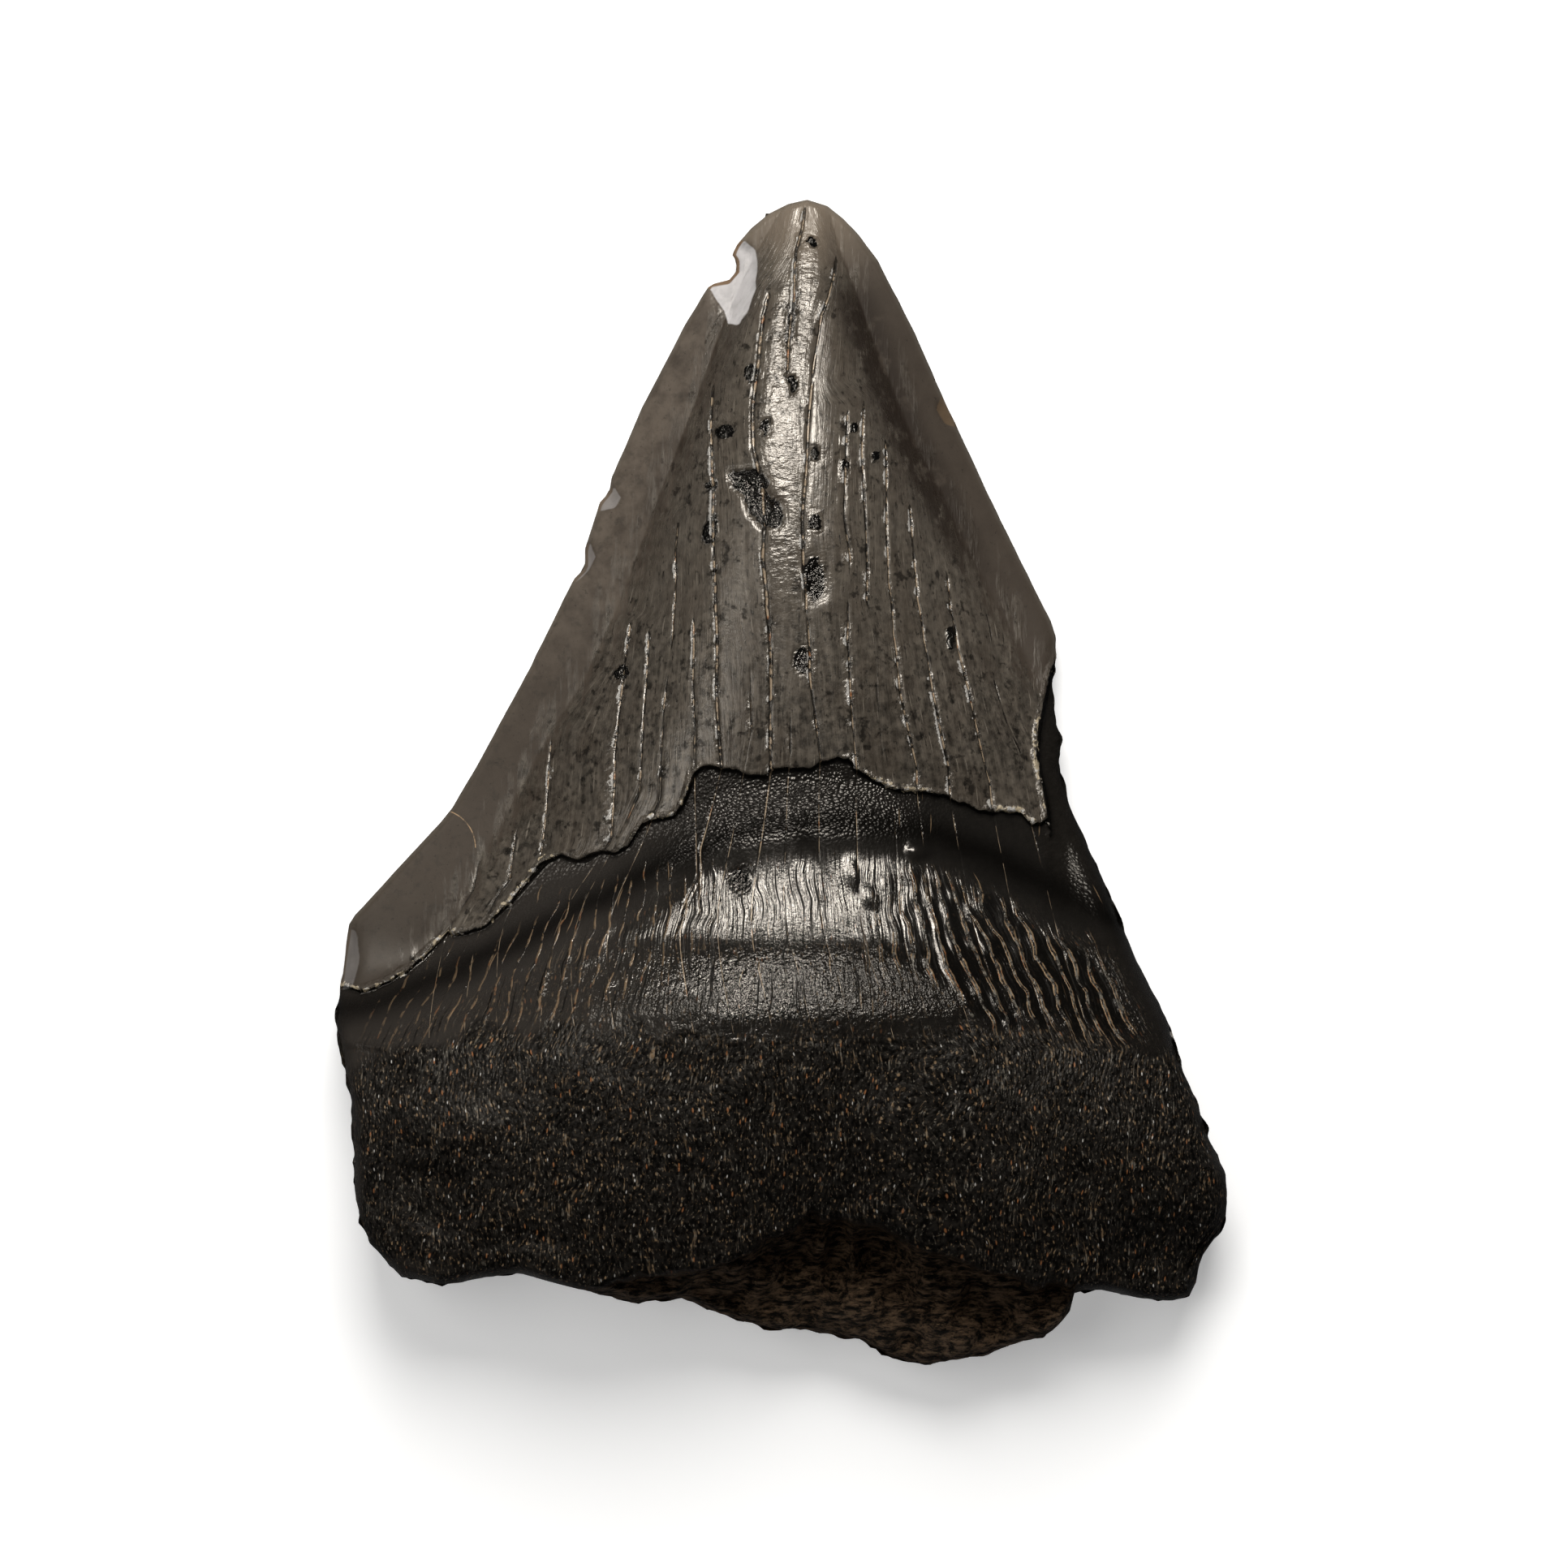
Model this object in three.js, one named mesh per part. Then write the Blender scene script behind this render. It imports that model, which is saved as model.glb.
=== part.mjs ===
// A fossil megalodon tooth. It lies on its flat outer face with the domed inner face up and the tip
// towards +Y. Crown, neck and root are one grown body, so the group holds one solid.
// Units are millimetres and +Z is up. The origin is on the surface that the tooth lies on,
// under the middle of its outline.
import * as THREE from "three";

// Driving dimensions
const TOOTH_LENGTH = 110; // broken base to tip
const TOOTH_WIDTH = 84; // across the root
const CROWN_THICKNESS = 16.6; // on the ridge, where the enamel ends
const ROOT_THICKNESS = 23.2; // at the crest of the root's bulge
const ENAMEL_STEP = 0.55; // how far the enamel stands proud of the neck
const GROOVE_DEPTH = 0.3; // hollow of the neck just below the enamel
const GROOVE_RISE = 4.3; // from the neck line up to the middle of that hollow
const GROOVE_REACH = 1.9; // from the middle of that hollow to where it fades
const GROOVE_FADE = [1, 9]; // distance to the rim over which it sets in
const EDGE_WIDTH = 0.3; // how far the enamel's broken edge leans out
const STEP_FADE = [1, 9]; // distance below that edge over which its step runs out
const ROOT_FALL = 5.2; // from the crest of the bulge down to the broken step
const LEDGE_DROP = 4.2; // broken step from the root's inner face to the ledge
const STEP_WIDTH = 0.5; // how far the face of that step leans out
const CAVITY_DEPTH = 1.1; // the largest pit in the crown
const HALF_LENGTH = TOOTH_LENGTH / 2;
const HALF_WIDTH = TOOTH_WIDTH / 2;

// Outline, as [x, y] from the middle. The two sides run from the base to the tip.
const LEFT_SIDE = [
  [-35.7, -46.5], [-37.7, -44.4], [-38.9, -43.1], [-39.6, -41], [-40.1, -39.1], [-40.2, -35.7],
  [-40.4, -30], [-HALF_WIDTH, -22.5], [-41.3, -16.4], [-40.8, -13.1], [-31.5, -3], [-31.1, -2.4],
  [-29.1, 1], [-23.8, 10.8], [-19.7, 19.1], [-18.6, 20.2], [-18.6, 22], [-17.2, 26.4], [-16.3, 27.4],
  [-16.1, 28.7], [-13.2, 35.4], [-9.2, 43.1], [-6.8, 47], [-5.1, 47.3], [-4.3, 48.2], [-4.3, 49.2],
  [-4.7, 49.8], [-4.2, 50.8], [-2.9, 52.3], [-1.2, 53.7],
];
const RIGHT_SIDE = [
  [39.3, -45], [40.2, -43.5], [41.2, -42.5], [41.8, -40.7], [HALF_WIDTH, -38.8], [41.7, -36.8],
  [41.1, -35.4], [40, -33.3], [39.3, -30.8], [38.4, -28.7], [37.1, -25.6], [36.2, -22.1], [33.4, -16.9],
  [30.9, -10.8], [27.2, -2.3], [26.3, 0.8], [26.3, 4.2], [25.6, 8], [25.9, 13.6], [25.4, 15.2],
  [21.1, 23.8], [15.6, 35.5], [12.6, 42.3], [9.1, 49.2], [7.4, 51.5], [5.8, 53.2],
];
const TIP = [[-1.2, 53.7], [0.6, 54.6], [2.4, HALF_LENGTH], [4.3, 54.4], [5.8, 53.2]];
const BASE = [
  [-35.7, -46.5], [-34.2, -46.7], [-32, -47.2], [-30, -47], [-27.8, -46.5], [-24.6, -46.1], [-20, -47.4],
  [-13.9, -49], [-9.4, -48.5], [-6.4, -49.9], [-1, -51.5], [3.2, -51.8], [7.5, -52.6], [10.3, -54.2],
  [13.5, -HALF_LENGTH], [19, -54.1], [22.1, -52.8], [24.8, -52.1], [26.4, -50.9], [27.2, -49.6],
  [27.6, -47.9], [30, -47.8], [34, -48.7], [36.7, -48.9], [38.4, -48.4], [39.1, -47], [39.3, -45],
];

// Lines that the relief follows across the tooth, as [x, y] from left to right
const ENAMEL_EDGE = [
  [-42, -19.3], [-39.1, -19.5], [-36.2, -18.2], [-31.6, -14.3], [-27.7, -13.3], [-22.9, -7.6], [-21.3, -6.8],
  [-18.6, -7.5], [-17.4, -6.5], [-14, -5.8], [-12.5, -3.7], [-9.8, -3], [-8.3, 0.9], [-7.3, 1.6], [-1.4, 0.5],
  [-0.5, 1.3], [2.8, 1.3], [5.3, 2.4], [6.5, 2.1], [8.8, 0.1], [13.5, -0.8], [18.1, -2.6], [22.8, -3.1],
  [25, -3.8], [29, -5],
];
const SHOULDER = [[-42, -14.5], [-30, -5.5], [-18, 0.5], [-8, 4.6], [4, 5.6], [16, 3.6], [27, 1.5]];
const NECK = [
  [-42, -22.8], [-37, -21.4], [-27.8, -17.3], [-20.1, -13.1], [-14, -10.1], [-7.9, -6.6], [-1.8, -4.8],
  [5.8, -4.4], [13.5, -5.2], [19.6, -7.8], [25.7, -11], [34, -15.5],
];
const CREST = [[-42, -29], [-31, -26.5], [-17, -24.4], [-6, -23.6], [9, -23.4], [24, -25], [38, -29]];
const ROOT_STEP = [
  [-42, -46], [-24, -45.6], [-19, -46.8], [-16, -46.3], [-8.7, -45], [-4.8, -44.6], [-1.8, -42.5],
  [2.8, -40.2], [6.2, -40.5], [8.9, -41.4], [12, -42.9], [15.8, -44.4], [19.6, -45.6], [23.4, -46.6],
  [28, -46.4], [42, -46],
];

// Fall of the crown's ridge from the thickness at the enamel's edge, as [y, drop]
const RIDGE_DROP = [
  [-20, 0], [0, 0.2], [10, 0.7], [20, 1.8], [28, 3.3], [33, 4.7], [40, 7.2], [46, 9.4], [49, 10.5],
  [52, 11.95], [HALF_LENGTH, 13.4],
];
const RIDGE_X = [
  [-50, 0], [0, 0.2], [15, 0.2], [25, 0.4], [35, 0.5], [42, 0.9], [47, 1.8], [HALF_LENGTH, 2.4],
];

// Rise from the neck to the crest of the bulge, as [share of the way, share of the rise]
const BULGE_RISE = [
  [-0.28, 0], [0, 0.089], [0.143, 0.118], [0.344, 0.306], [0.466, 0.452], [0.71, 0.807], [0.81, 0.912],
  [0.9, 0.975], [1, 1],
];
const FALL_CURVE = 1.7; // how late the root falls away from its crest
const FALL_REACH = 1.2; // share of the way to the step at which the fall ends

// Cross section from the ridge to a rim. A curve is an exponent: larger is flatter on top and steeper
// at the rim. A stretch is [from y, to y], or [from, to] measured from the neck line.
const DOME_CURVE = [2.3, 3.8]; // low on the crown, then near the tip
const DOME_STRETCH = [12, 42];
const DOME_EDGE_CURVE = 1.3; // how softly the dome runs out into the blades
const DOME_SHARE = [0.55, 0.97]; // least and most of the half width that the dome takes
const BLADE_SHARE = [0.25, 0.34]; // share of the height that is a plain slope, low on the crown, then high
const BLADE_STRETCH = [0, 30];
const RIDGE_SOFTNESS = 0.6; // how far that slope rounds off on the ridge
const ROOT_CURVE = [2.7, 2.05]; // beside the base, then at the crest
const ROOT_STRETCH = [-36, -22];
const NECK_STRETCH = [-5, 4]; // where the root's section turns into the crown's

// Where the dome ends and the thin blades begin, as [y, x] from the root up
const BLADE_LEFT = [
  [-18, -34.8], [-14, -32.7], [-10.4, -30.3], [-2.7, -26], [4.9, -21.9], [8.8, -19.2], [16.4, -15.6],
  [25.6, -12.1], [35.5, -8.3], [43.1, -5.6], [49.2, -2.9], [HALF_LENGTH, 0.5],
];
const BLADE_RIGHT = [
  [-5, 27], [7.1, 25.2], [12.5, 22.6], [18.6, 19.2], [26.3, 15.4], [33.1, 12], [40.8, 8.9], [48.4, 6.2],
  [HALF_LENGTH, 3.5],
];

// The rim all round, as [y, value] on the sides: height of the rim line, half of its thickness,
// and the radius that rounds it over
const RIM = {
  left: {
    middle: [
      [-47, 8], [-30, 7.8], [-24, 6.6], [-20.5, 4.4], [-17.5, 3.1], [-13, 2.6], [0, 2.1], [30, 1.8],
      [HALF_LENGTH, 2.2],
    ],
    half: [
      [-47, 5], [-30, 5.2], [-24, 4.2], [-20.5, 2.1], [-17.5, 1.1], [-13, 0.8], [0, 0.7], [30, 0.6],
      [HALF_LENGTH, 0.9],
    ],
    radius: [[-47, 1.4], [-30, 1.5], [-23, 1.5], [-18, 1.2], [-13, 0.8], [0, 0.6], [HALF_LENGTH, 0.6]],
  },
  right: {
    middle: [
      [-47, 4.6], [-38, 6.8], [-30, 8], [-15, 6.4], [-4, 4.4], [6, 3.2], [13, 2.2], [30, 1.8],
      [HALF_LENGTH, 2.2],
    ],
    half: [
      [-47, 3.4], [-38, 4.6], [-30, 5.4], [-15, 4.4], [-4, 2.9], [6, 1.8], [13, 0.9], [20, 0.6],
      [HALF_LENGTH, 0.9],
    ],
    radius: [
      [-47, 1.4], [-30, 1.6], [-15, 1.5], [-4, 1.4], [6, 1.2], [13, 0.8], [20, 0.6], [HALF_LENGTH, 0.6],
    ],
  },
};
// The same three for the base, as [x, value]
const BASE_MIDDLE = [[-38, 8], [-20, 7], [-6, 5.2], [12, 3.8], [24, 4.4], [30, 4.6], [40, 4.6]];
const BASE_HALF = [[-38, 5.2], [-20, 4.8], [-6, 3.8], [12, 2.8], [24, 3.2], [30, 3.4], [40, 3.4]];
const BASE_RADIUS = [[-38, 1.4], [-22, 1.2], [-12, 1], [22, 1], [30, 1.2], [40, 1.4]];
const BASE_RIM_STRETCH = [-46, -39]; // y over which the base's rim turns into the sides'
const LEDGE_OUTER_HEIGHT = [[-20, 12], [-6, 9.4], [8, 8], [20, 9], [30, 12]]; // [x, z] beside the base rim
const LEDGE_START = [-22, -16]; // x over which the ledge opens on the left
const LEDGE_END = [26.2, 28.8]; // x over which it closes on the right
const LUMPS_START = 0.3; // share of the ledge over which its lumps reach their full height

// The outer face lifts off the surface towards the rim (share of the half width), the tip and the base (y)
const RIM_LIFT = [0.58, 1];
const TIP_LIFT = [36, HALF_LENGTH];
const BASE_LIFT = [-50, -41];

// Lattice of the domed face, as the number of rows between each two guide lines, base to tip
const ROWS_BETWEEN_GUIDES = [3, 5, 1, 9, 8, 4, 1, 3, 27, 3];
const LEDGE_LEAST = 0.9; // least room between the base's rounded rim and the foot of the step
const TIP_RADIUS = 1.6; // rounding of the tip's rim
const RIM_COLUMNS = 5;
const WIDEST_BAND = 0.2; // the most of the tooth's width that the columns on one rim take
const INNER_COLUMNS = 44;
const SETTLING_ROUNDS = 14;
const SETTLING_SHARE = 0.6; // how far each round moves a point

const clamp = (value, low, high) => Math.min(high, Math.max(low, value));
const mix = (a, b, share) => a + (b - a) * share;

function smoothStep(low, high, value) {
  const t = clamp((value - low) / (high - low), 0, 1);
  return t * t * (3 - 2 * t);
}

// The value of a polyline at a key, held constant past its ends. Points are [key, value].
function lineAt(points, key) {
  if (key <= points[0][0]) return points[0][1];
  for (let i = 1; i < points.length; i++) {
    const [k0, v0] = points[i - 1];
    const [k1, v1] = points[i];
    if (key <= k1) return mix(v0, v1, (key - k0) / (k1 - k0));
  }
  return points[points.length - 1][1];
}

// The same line with its corners rounded, as the mean over a window
function softLineAt(points, key, reach) {
  const steps = [-1, -0.6, -0.2, 0.2, 0.6, 1];
  return steps.reduce((sum, step) => sum + lineAt(points, key + step * reach), 0) / steps.length;
}

const swap = (points) => points.map(([x, y]) => [y, x]);
const LEFT_BY_Y = swap(LEFT_SIDE);
const RIGHT_BY_Y = swap(RIGHT_SIDE);
const SIDE_SMOOTHING = 3;
const GUIDE_SMOOTHING = 5;
const PROFILE_SMOOTHING = 3;
const RISE_SMOOTHING = 0.05;

// The whole outline as one closed loop, for distances to the rim
const OUTLINE = [
  ...BASE, ...RIGHT_SIDE.slice(1), ...TIP.slice(0, -1).reverse(), ...LEFT_SIDE.slice(0, -1).reverse(),
];

function distanceToLine(points, x, y) {
  let nearest = Infinity;
  for (let i = 1; i < points.length; i++) {
    const [x0, y0] = points[i - 1];
    const [x1, y1] = points[i];
    const along = ((x - x0) * (x1 - x0) + (y - y0) * (y1 - y0)) / ((x1 - x0) ** 2 + (y1 - y0) ** 2);
    const t = clamp(along, 0, 1);
    nearest = Math.min(nearest, Math.hypot(x - mix(x0, x1, t), y - mix(y0, y1, t)));
  }
  return nearest;
}

// How far across the tooth a point lies: 0 on the ridge, 1 at either rim
function across(x, y) {
  const ridge = softLineAt(RIDGE_X, y, SIDE_SMOOTHING);
  const rim = softLineAt(x < ridge ? LEFT_BY_Y : RIGHT_BY_Y, y, SIDE_SMOOTHING);
  return clamp((x - ridge) / (rim - ridge), 0, 1);
}

// Rim line height, half thickness and rounding radius near a point
function rimAt(x, y) {
  const side = x < lineAt(RIDGE_X, y) ? RIM.left : RIM.right;
  const nearBase = 1 - smoothStep(...BASE_RIM_STRETCH, y);
  return {
    middle: mix(softLineAt(side.middle, y, PROFILE_SMOOTHING), lineAt(BASE_MIDDLE, x), nearBase),
    half: mix(softLineAt(side.half, y, PROFILE_SMOOTHING), lineAt(BASE_HALF, x), nearBase),
    radius: mix(softLineAt(side.radius, y, PROFILE_SMOOTHING), lineAt(BASE_RADIUS, x), nearBase),
  };
}

// A quarter round: 0 on the rim, 1 from its radius inwards
function rimRound(distance, radius) {
  const left = 1 - clamp(distance / radius, 0, 1);
  return Math.sqrt(1 - left * left);
}

// Height along the tooth on its middle line: crown, rise to the root's crest, fall to the broken step
function lengthwise(x, y) {
  const neck = softLineAt(NECK, x, GUIDE_SMOOTHING);
  const crest = softLineAt(CREST, x, GUIDE_SMOOTHING);
  const step = lineAt(ROOT_STEP, x);
  const crown = CROWN_THICKNESS - softLineAt(RIDGE_DROP, Math.max(y, neck), PROFILE_SMOOTHING);
  const rise = softLineAt(BULGE_RISE, (neck - y) / (neck - crest), RISE_SMOOTHING);
  const fall = clamp((crest - y) / (crest - step), 0, FALL_REACH);
  return mix(crown, ROOT_THICKNESS, rise) - ROOT_FALL * fall ** FALL_CURVE;
}

// Fall of a plain slope from 0 on the ridge to 1 at the rim, rounded off on the ridge
function slant(u) {
  const soft = RIDGE_SOFTNESS;
  return (Math.hypot(u, soft) - soft) / (Math.hypot(1, soft) - soft);
}

// How much of the middle height is left towards the rim: a dome between two flat blades on the crown,
// and a broad bulge on the root
function sectionShape(x, y, neck) {
  const u = across(x, y);
  const ridge = softLineAt(RIDGE_X, y, SIDE_SMOOTHING);
  const isLeft = x < ridge;
  const border = lineAt(isLeft ? BLADE_LEFT : BLADE_RIGHT, y);
  const rim = softLineAt(isLeft ? LEFT_BY_Y : RIGHT_BY_Y, y, SIDE_SMOOTHING);
  const domeEdge = clamp((border - ridge) / (rim - ridge), ...DOME_SHARE);
  const t = clamp(u / domeEdge, 0, 1);
  const bell = (1 - t ** mix(...DOME_CURVE, smoothStep(...DOME_STRETCH, y))) ** DOME_EDGE_CURVE;
  const blade = mix(...BLADE_SHARE, smoothStep(...BLADE_STRETCH, y));
  const crown = blade * (1 - slant(u)) + (1 - blade) * bell;
  const root = 1 - u ** mix(...ROOT_CURVE, smoothStep(...ROOT_STRETCH, y));
  return mix(root, crown, smoothStep(...NECK_STRETCH, y - neck));
}

// A hollow with soft edges, given by its centre, half sizes, turn and depth
function hollow(x, y, [cx, cy, halfWidth, halfLength, turn, depth]) {
  const angle = THREE.MathUtils.degToRad(turn);
  const along = (x - cx) * Math.sin(angle) + (y - cy) * Math.cos(angle);
  const side = (x - cx) * Math.cos(angle) - (y - cy) * Math.sin(angle);
  const reach = (along / halfLength) ** 2 + (side / halfWidth) ** 2;
  return depth * (1 - smoothStep(0.25, 1.4, reach));
}

// Hollows as centre x, centre y, half width, half length, degrees off the Y axis, depth
const HOLLOWS = [
  [-2.6, 26.1, 2.1, 4, -28, CAVITY_DEPTH],
  [-5.6, 32.6, 1.6, 1.5, 0, 0.5],
  [3.2, 19, 1.2, 2.6, -10, 0.5],
  [5.2, -44.5, 1.3, 4.8, 0, 1.6],
  [9.2, -43.8, 2.8, 2.6, 40, 1.7],
  [-38.5, -26.8, 4, 1.4, 12, 0.9],
  [-32, -39, 4.5, 3.2, 30, 0.5],
];
const LOW_RIDGES = [
  [-31.5, -31.5, 5, 2.6, 10, 0.6], [12.7, -6.6, 1.5, 1.2, 0, 0.5], [-24, -45, 5, 2, 0, 0.5],
];

// Facet knocked off the left blade beside the tip: its middle, half sizes and drop towards the rim
const TIP_CHIP = [-4, 48.2, 2.4, 4.2, 12, 0.8];

// Above 0 inside the enamel, 0 on its broken edge
function enamelSide(x, y) {
  return y - lineAt(ENAMEL_EDGE, x);
}

// Uneven surface of the broken base, as a sum of waves: [height, turn per mm in x, turn per mm in y]
const BROKEN_WAVES = [[0.5, 0.75, 0.2], [0.35, 0.4, 1.3], [0.3, 1.7, -0.9]];
function brokenLumps(x, y) {
  const wave = ([height, turnX, turnY]) => height * Math.sin(x * turnX + y * turnY);
  return BROKEN_WAVES.reduce((sum, each) => sum + wave(each), 0);
}

// The ledge of broken root below the step, from its foot down to the base rim
function ledgeHeight(x, y, top) {
  const step = lineAt(ROOT_STEP, x);
  const share = clamp((step - y) / (step - lineAt(BASE, x)), 0, 1);
  const outer = lineAt(LEDGE_OUTER_HEIGHT, x);
  const lumps = brokenLumps(x, y) * smoothStep(0, LUMPS_START, share);
  return mix(Math.max(top - LEDGE_DROP, outer), outer, share) + lumps;
}

// The domed inner face, before the rim rounds it over
function innerFace(x, y, rim) {
  const neck = softLineAt(NECK, x, GUIDE_SMOOTHING);
  const rimTop = rim.middle + rim.half;
  const middle = lengthwise(x, y);
  let z = rimTop + (middle - rimTop) * sectionShape(x, y, neck);
  const groove = Math.exp(-(((y - neck - GROOVE_RISE) / GROOVE_REACH) ** 2));
  z -= GROOVE_DEPTH * groove * smoothStep(...GROOVE_FADE, distanceToLine(OUTLINE, x, y));
  const below = -enamelSide(x, y);
  z -= ENAMEL_STEP * smoothStep(0, EDGE_WIDTH, below) * (1 - smoothStep(...STEP_FADE, below));
  const step = lineAt(ROOT_STEP, x);
  const onLedge = smoothStep(...LEDGE_START, x) * (1 - smoothStep(...LEDGE_END, x));
  z = mix(z, ledgeHeight(x, y, z), onLedge * smoothStep(step, step - STEP_WIDTH, y));
  for (const shape of HOLLOWS) z -= hollow(x, y, shape);
  for (const shape of LOW_RIDGES) z += hollow(x, y, shape);
  z -= hollow(x, y, TIP_CHIP);
  return z;
}

// The flat outer face. It lifts off the surface only towards the blades, the tip and the base.
function outerFace(x, y, rim) {
  const towardsRim = smoothStep(...RIM_LIFT, across(x, y));
  const towardsTip = smoothStep(...TIP_LIFT, y);
  const towardsBase = 1 - smoothStep(...BASE_LIFT, y);
  return (rim.middle - rim.half) * Math.max(towardsRim, towardsTip, towardsBase);
}

// Guide lines that the rows follow, base to tip, as y for each x
function guideHeights(x) {
  const base = lineAt(BASE, x);
  const inner = base + lineAt(BASE_RADIUS, x);
  const step = Math.max(lineAt(ROOT_STEP, x), inner + LEDGE_LEAST);
  const enamel = lineAt(ENAMEL_EDGE, x);
  const tip = lineAt(TIP, x);
  const [crest, neck, shoulder] = [CREST, NECK, SHOULDER].map((line) => softLineAt(line, x, GUIDE_SMOOTHING));
  return [
    base, inner, step - STEP_WIDTH, step, crest, neck, enamel - EDGE_WIDTH, enamel, shoulder,
    tip - TIP_RADIUS, tip,
  ];
}

// Row positions as [guide, share of the way to the next guide]. The first and last few follow a quarter
// round, so that the steep rim gets even steps.
function rowStations() {
  const stations = [];
  ROWS_BETWEEN_GUIDES.forEach((count, guide) => {
    for (let i = 0; i < count; i++) {
      let share = i / count;
      if (guide === 0) share = 1 - Math.cos((share * Math.PI) / 2);
      if (guide === ROWS_BETWEEN_GUIDES.length - 1) share = Math.sin((share * Math.PI) / 2);
      stations.push([guide, share]);
    }
  });
  stations.push([ROWS_BETWEEN_GUIDES.length - 1, 1]);
  return stations;
}

// Column positions as a zone (left rim, inside, right rim) and a share of it
function columnStations() {
  const stations = [];
  for (let i = 0; i < RIM_COLUMNS; i++) {
    stations.push(["left", 1 - Math.cos(((i / RIM_COLUMNS) * Math.PI) / 2)]);
  }
  for (let i = 0; i <= INNER_COLUMNS; i++) stations.push(["inside", i / INNER_COLUMNS]);
  for (let i = RIM_COLUMNS - 1; i >= 0; i--) {
    stations.push(["right", 1 - Math.cos(((i / RIM_COLUMNS) * Math.PI) / 2)]);
  }
  return stations;
}

function columnX([zone, share], y) {
  const left = lineAt(LEFT_BY_Y, y);
  const right = lineAt(RIGHT_BY_Y, y);
  const widest = (right - left) * WIDEST_BAND;
  const leftBand = Math.min(lineAt(RIM.left.radius, y), widest);
  const rightBand = Math.min(lineAt(RIM.right.radius, y), widest);
  if (zone === "left") return left + leftBand * share;
  if (zone === "right") return right - rightBand * share;
  return mix(left + leftBand, right - rightBand, share);
}

// Where a row and a column of the lattice cross
function latticePoint(row, column) {
  const [guide, share] = row;
  let x = 0;
  let y = mix(-HALF_LENGTH, HALF_LENGTH, (guide + share) / ROWS_BETWEEN_GUIDES.length);
  for (let i = 0; i < SETTLING_ROUNDS; i++) {
    x = columnX(column, y);
    const heights = guideHeights(x);
    y = mix(y, mix(heights[guide], heights[guide + 1], share), i === 0 ? 1 : SETTLING_SHARE);
  }
  return [columnX(column, y), y];
}

function buildTooth() {
  const rows = rowStations();
  const columns = columnStations();
  const lastRow = rows.length - 1;
  const lastColumn = columns.length - 1;
  const positions = [];
  const triangles = [];
  const top = rows.map(() => []);
  const bottom = rows.map(() => []);
  const isOnRim = (r, c) => r === 0 || c === 0 || r === lastRow || c === lastColumn;

  rows.forEach((row, i) => {
    columns.forEach((column, j) => {
      const [x, y] = latticePoint(row, column);
      const rim = rimAt(x, y);
      const onRim = isOnRim(i, j);
      const round = onRim ? 0 : rimRound(distanceToLine(OUTLINE, x, y), rim.radius);
      top[i][j] = positions.length / 3;
      positions.push(x, y, mix(rim.middle, innerFace(x, y, rim), round));
      bottom[i][j] = top[i][j];
      if (onRim || i % 2 || j % 2) return;
      bottom[i][j] = positions.length / 3;
      positions.push(x, y, mix(rim.middle, outerFace(x, y, rim), round));
    });
  });

  for (let i = 0; i < lastRow; i++) {
    for (let j = 0; j < lastColumn; j++) {
      const [a, b, c, d] = [top[i][j], top[i][j + 1], top[i + 1][j + 1], top[i + 1][j]];
      triangles.push(a, b, c, a, c, d);
    }
  }

  // The outer face takes every second row and column, and picks up each point of the rim
  const isUsed = ([r, c]) => (r % 2 === 0 && c % 2 === 0) || isOnRim(r, c);
  const ROUND_A_CELL = [[0, 0], [1, 0], [2, 0], [2, 1], [2, 2], [1, 2], [0, 2], [0, 1]];
  for (let i = 0; i < lastRow; i += 2) {
    for (let j = 0; j < lastColumn; j += 2) {
      const used = ROUND_A_CELL.map(([r, c]) => [i + r, j + c]).filter(isUsed);
      const innerRow = i === 0 ? 2 : i;
      const innerColumn = j === 0 ? 2 : j;
      const start = used.findIndex(([r, c]) => r === innerRow && c === innerColumn);
      for (let k = 1; k < used.length - 1; k++) {
        const [p, q, s] = [0, k, k + 1].map((step) => used[(start + step) % used.length]);
        triangles.push(bottom[p[0]][p[1]], bottom[q[0]][q[1]], bottom[s[0]][s[1]]);
      }
    }
  }

  const geometry = new THREE.BufferGeometry();
  geometry.setAttribute("position", new THREE.Float32BufferAttribute(positions, 3));
  geometry.setIndex(triangles);
  geometry.computeVertexNormals();
  return geometry;
}

const fossil = new THREE.MeshStandardMaterial({ color: 0x3c3833, roughness: 0.45, metalness: 0 });
const tooth = new THREE.Mesh(buildTooth(), fossil);
tooth.name = "tooth";

const group = new THREE.Group();
group.add(tooth);

export default group;
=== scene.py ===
"""Fossil megalodon tooth: the finished surface of the tooth, its materials, and a plain studio around it."""
import math

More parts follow.
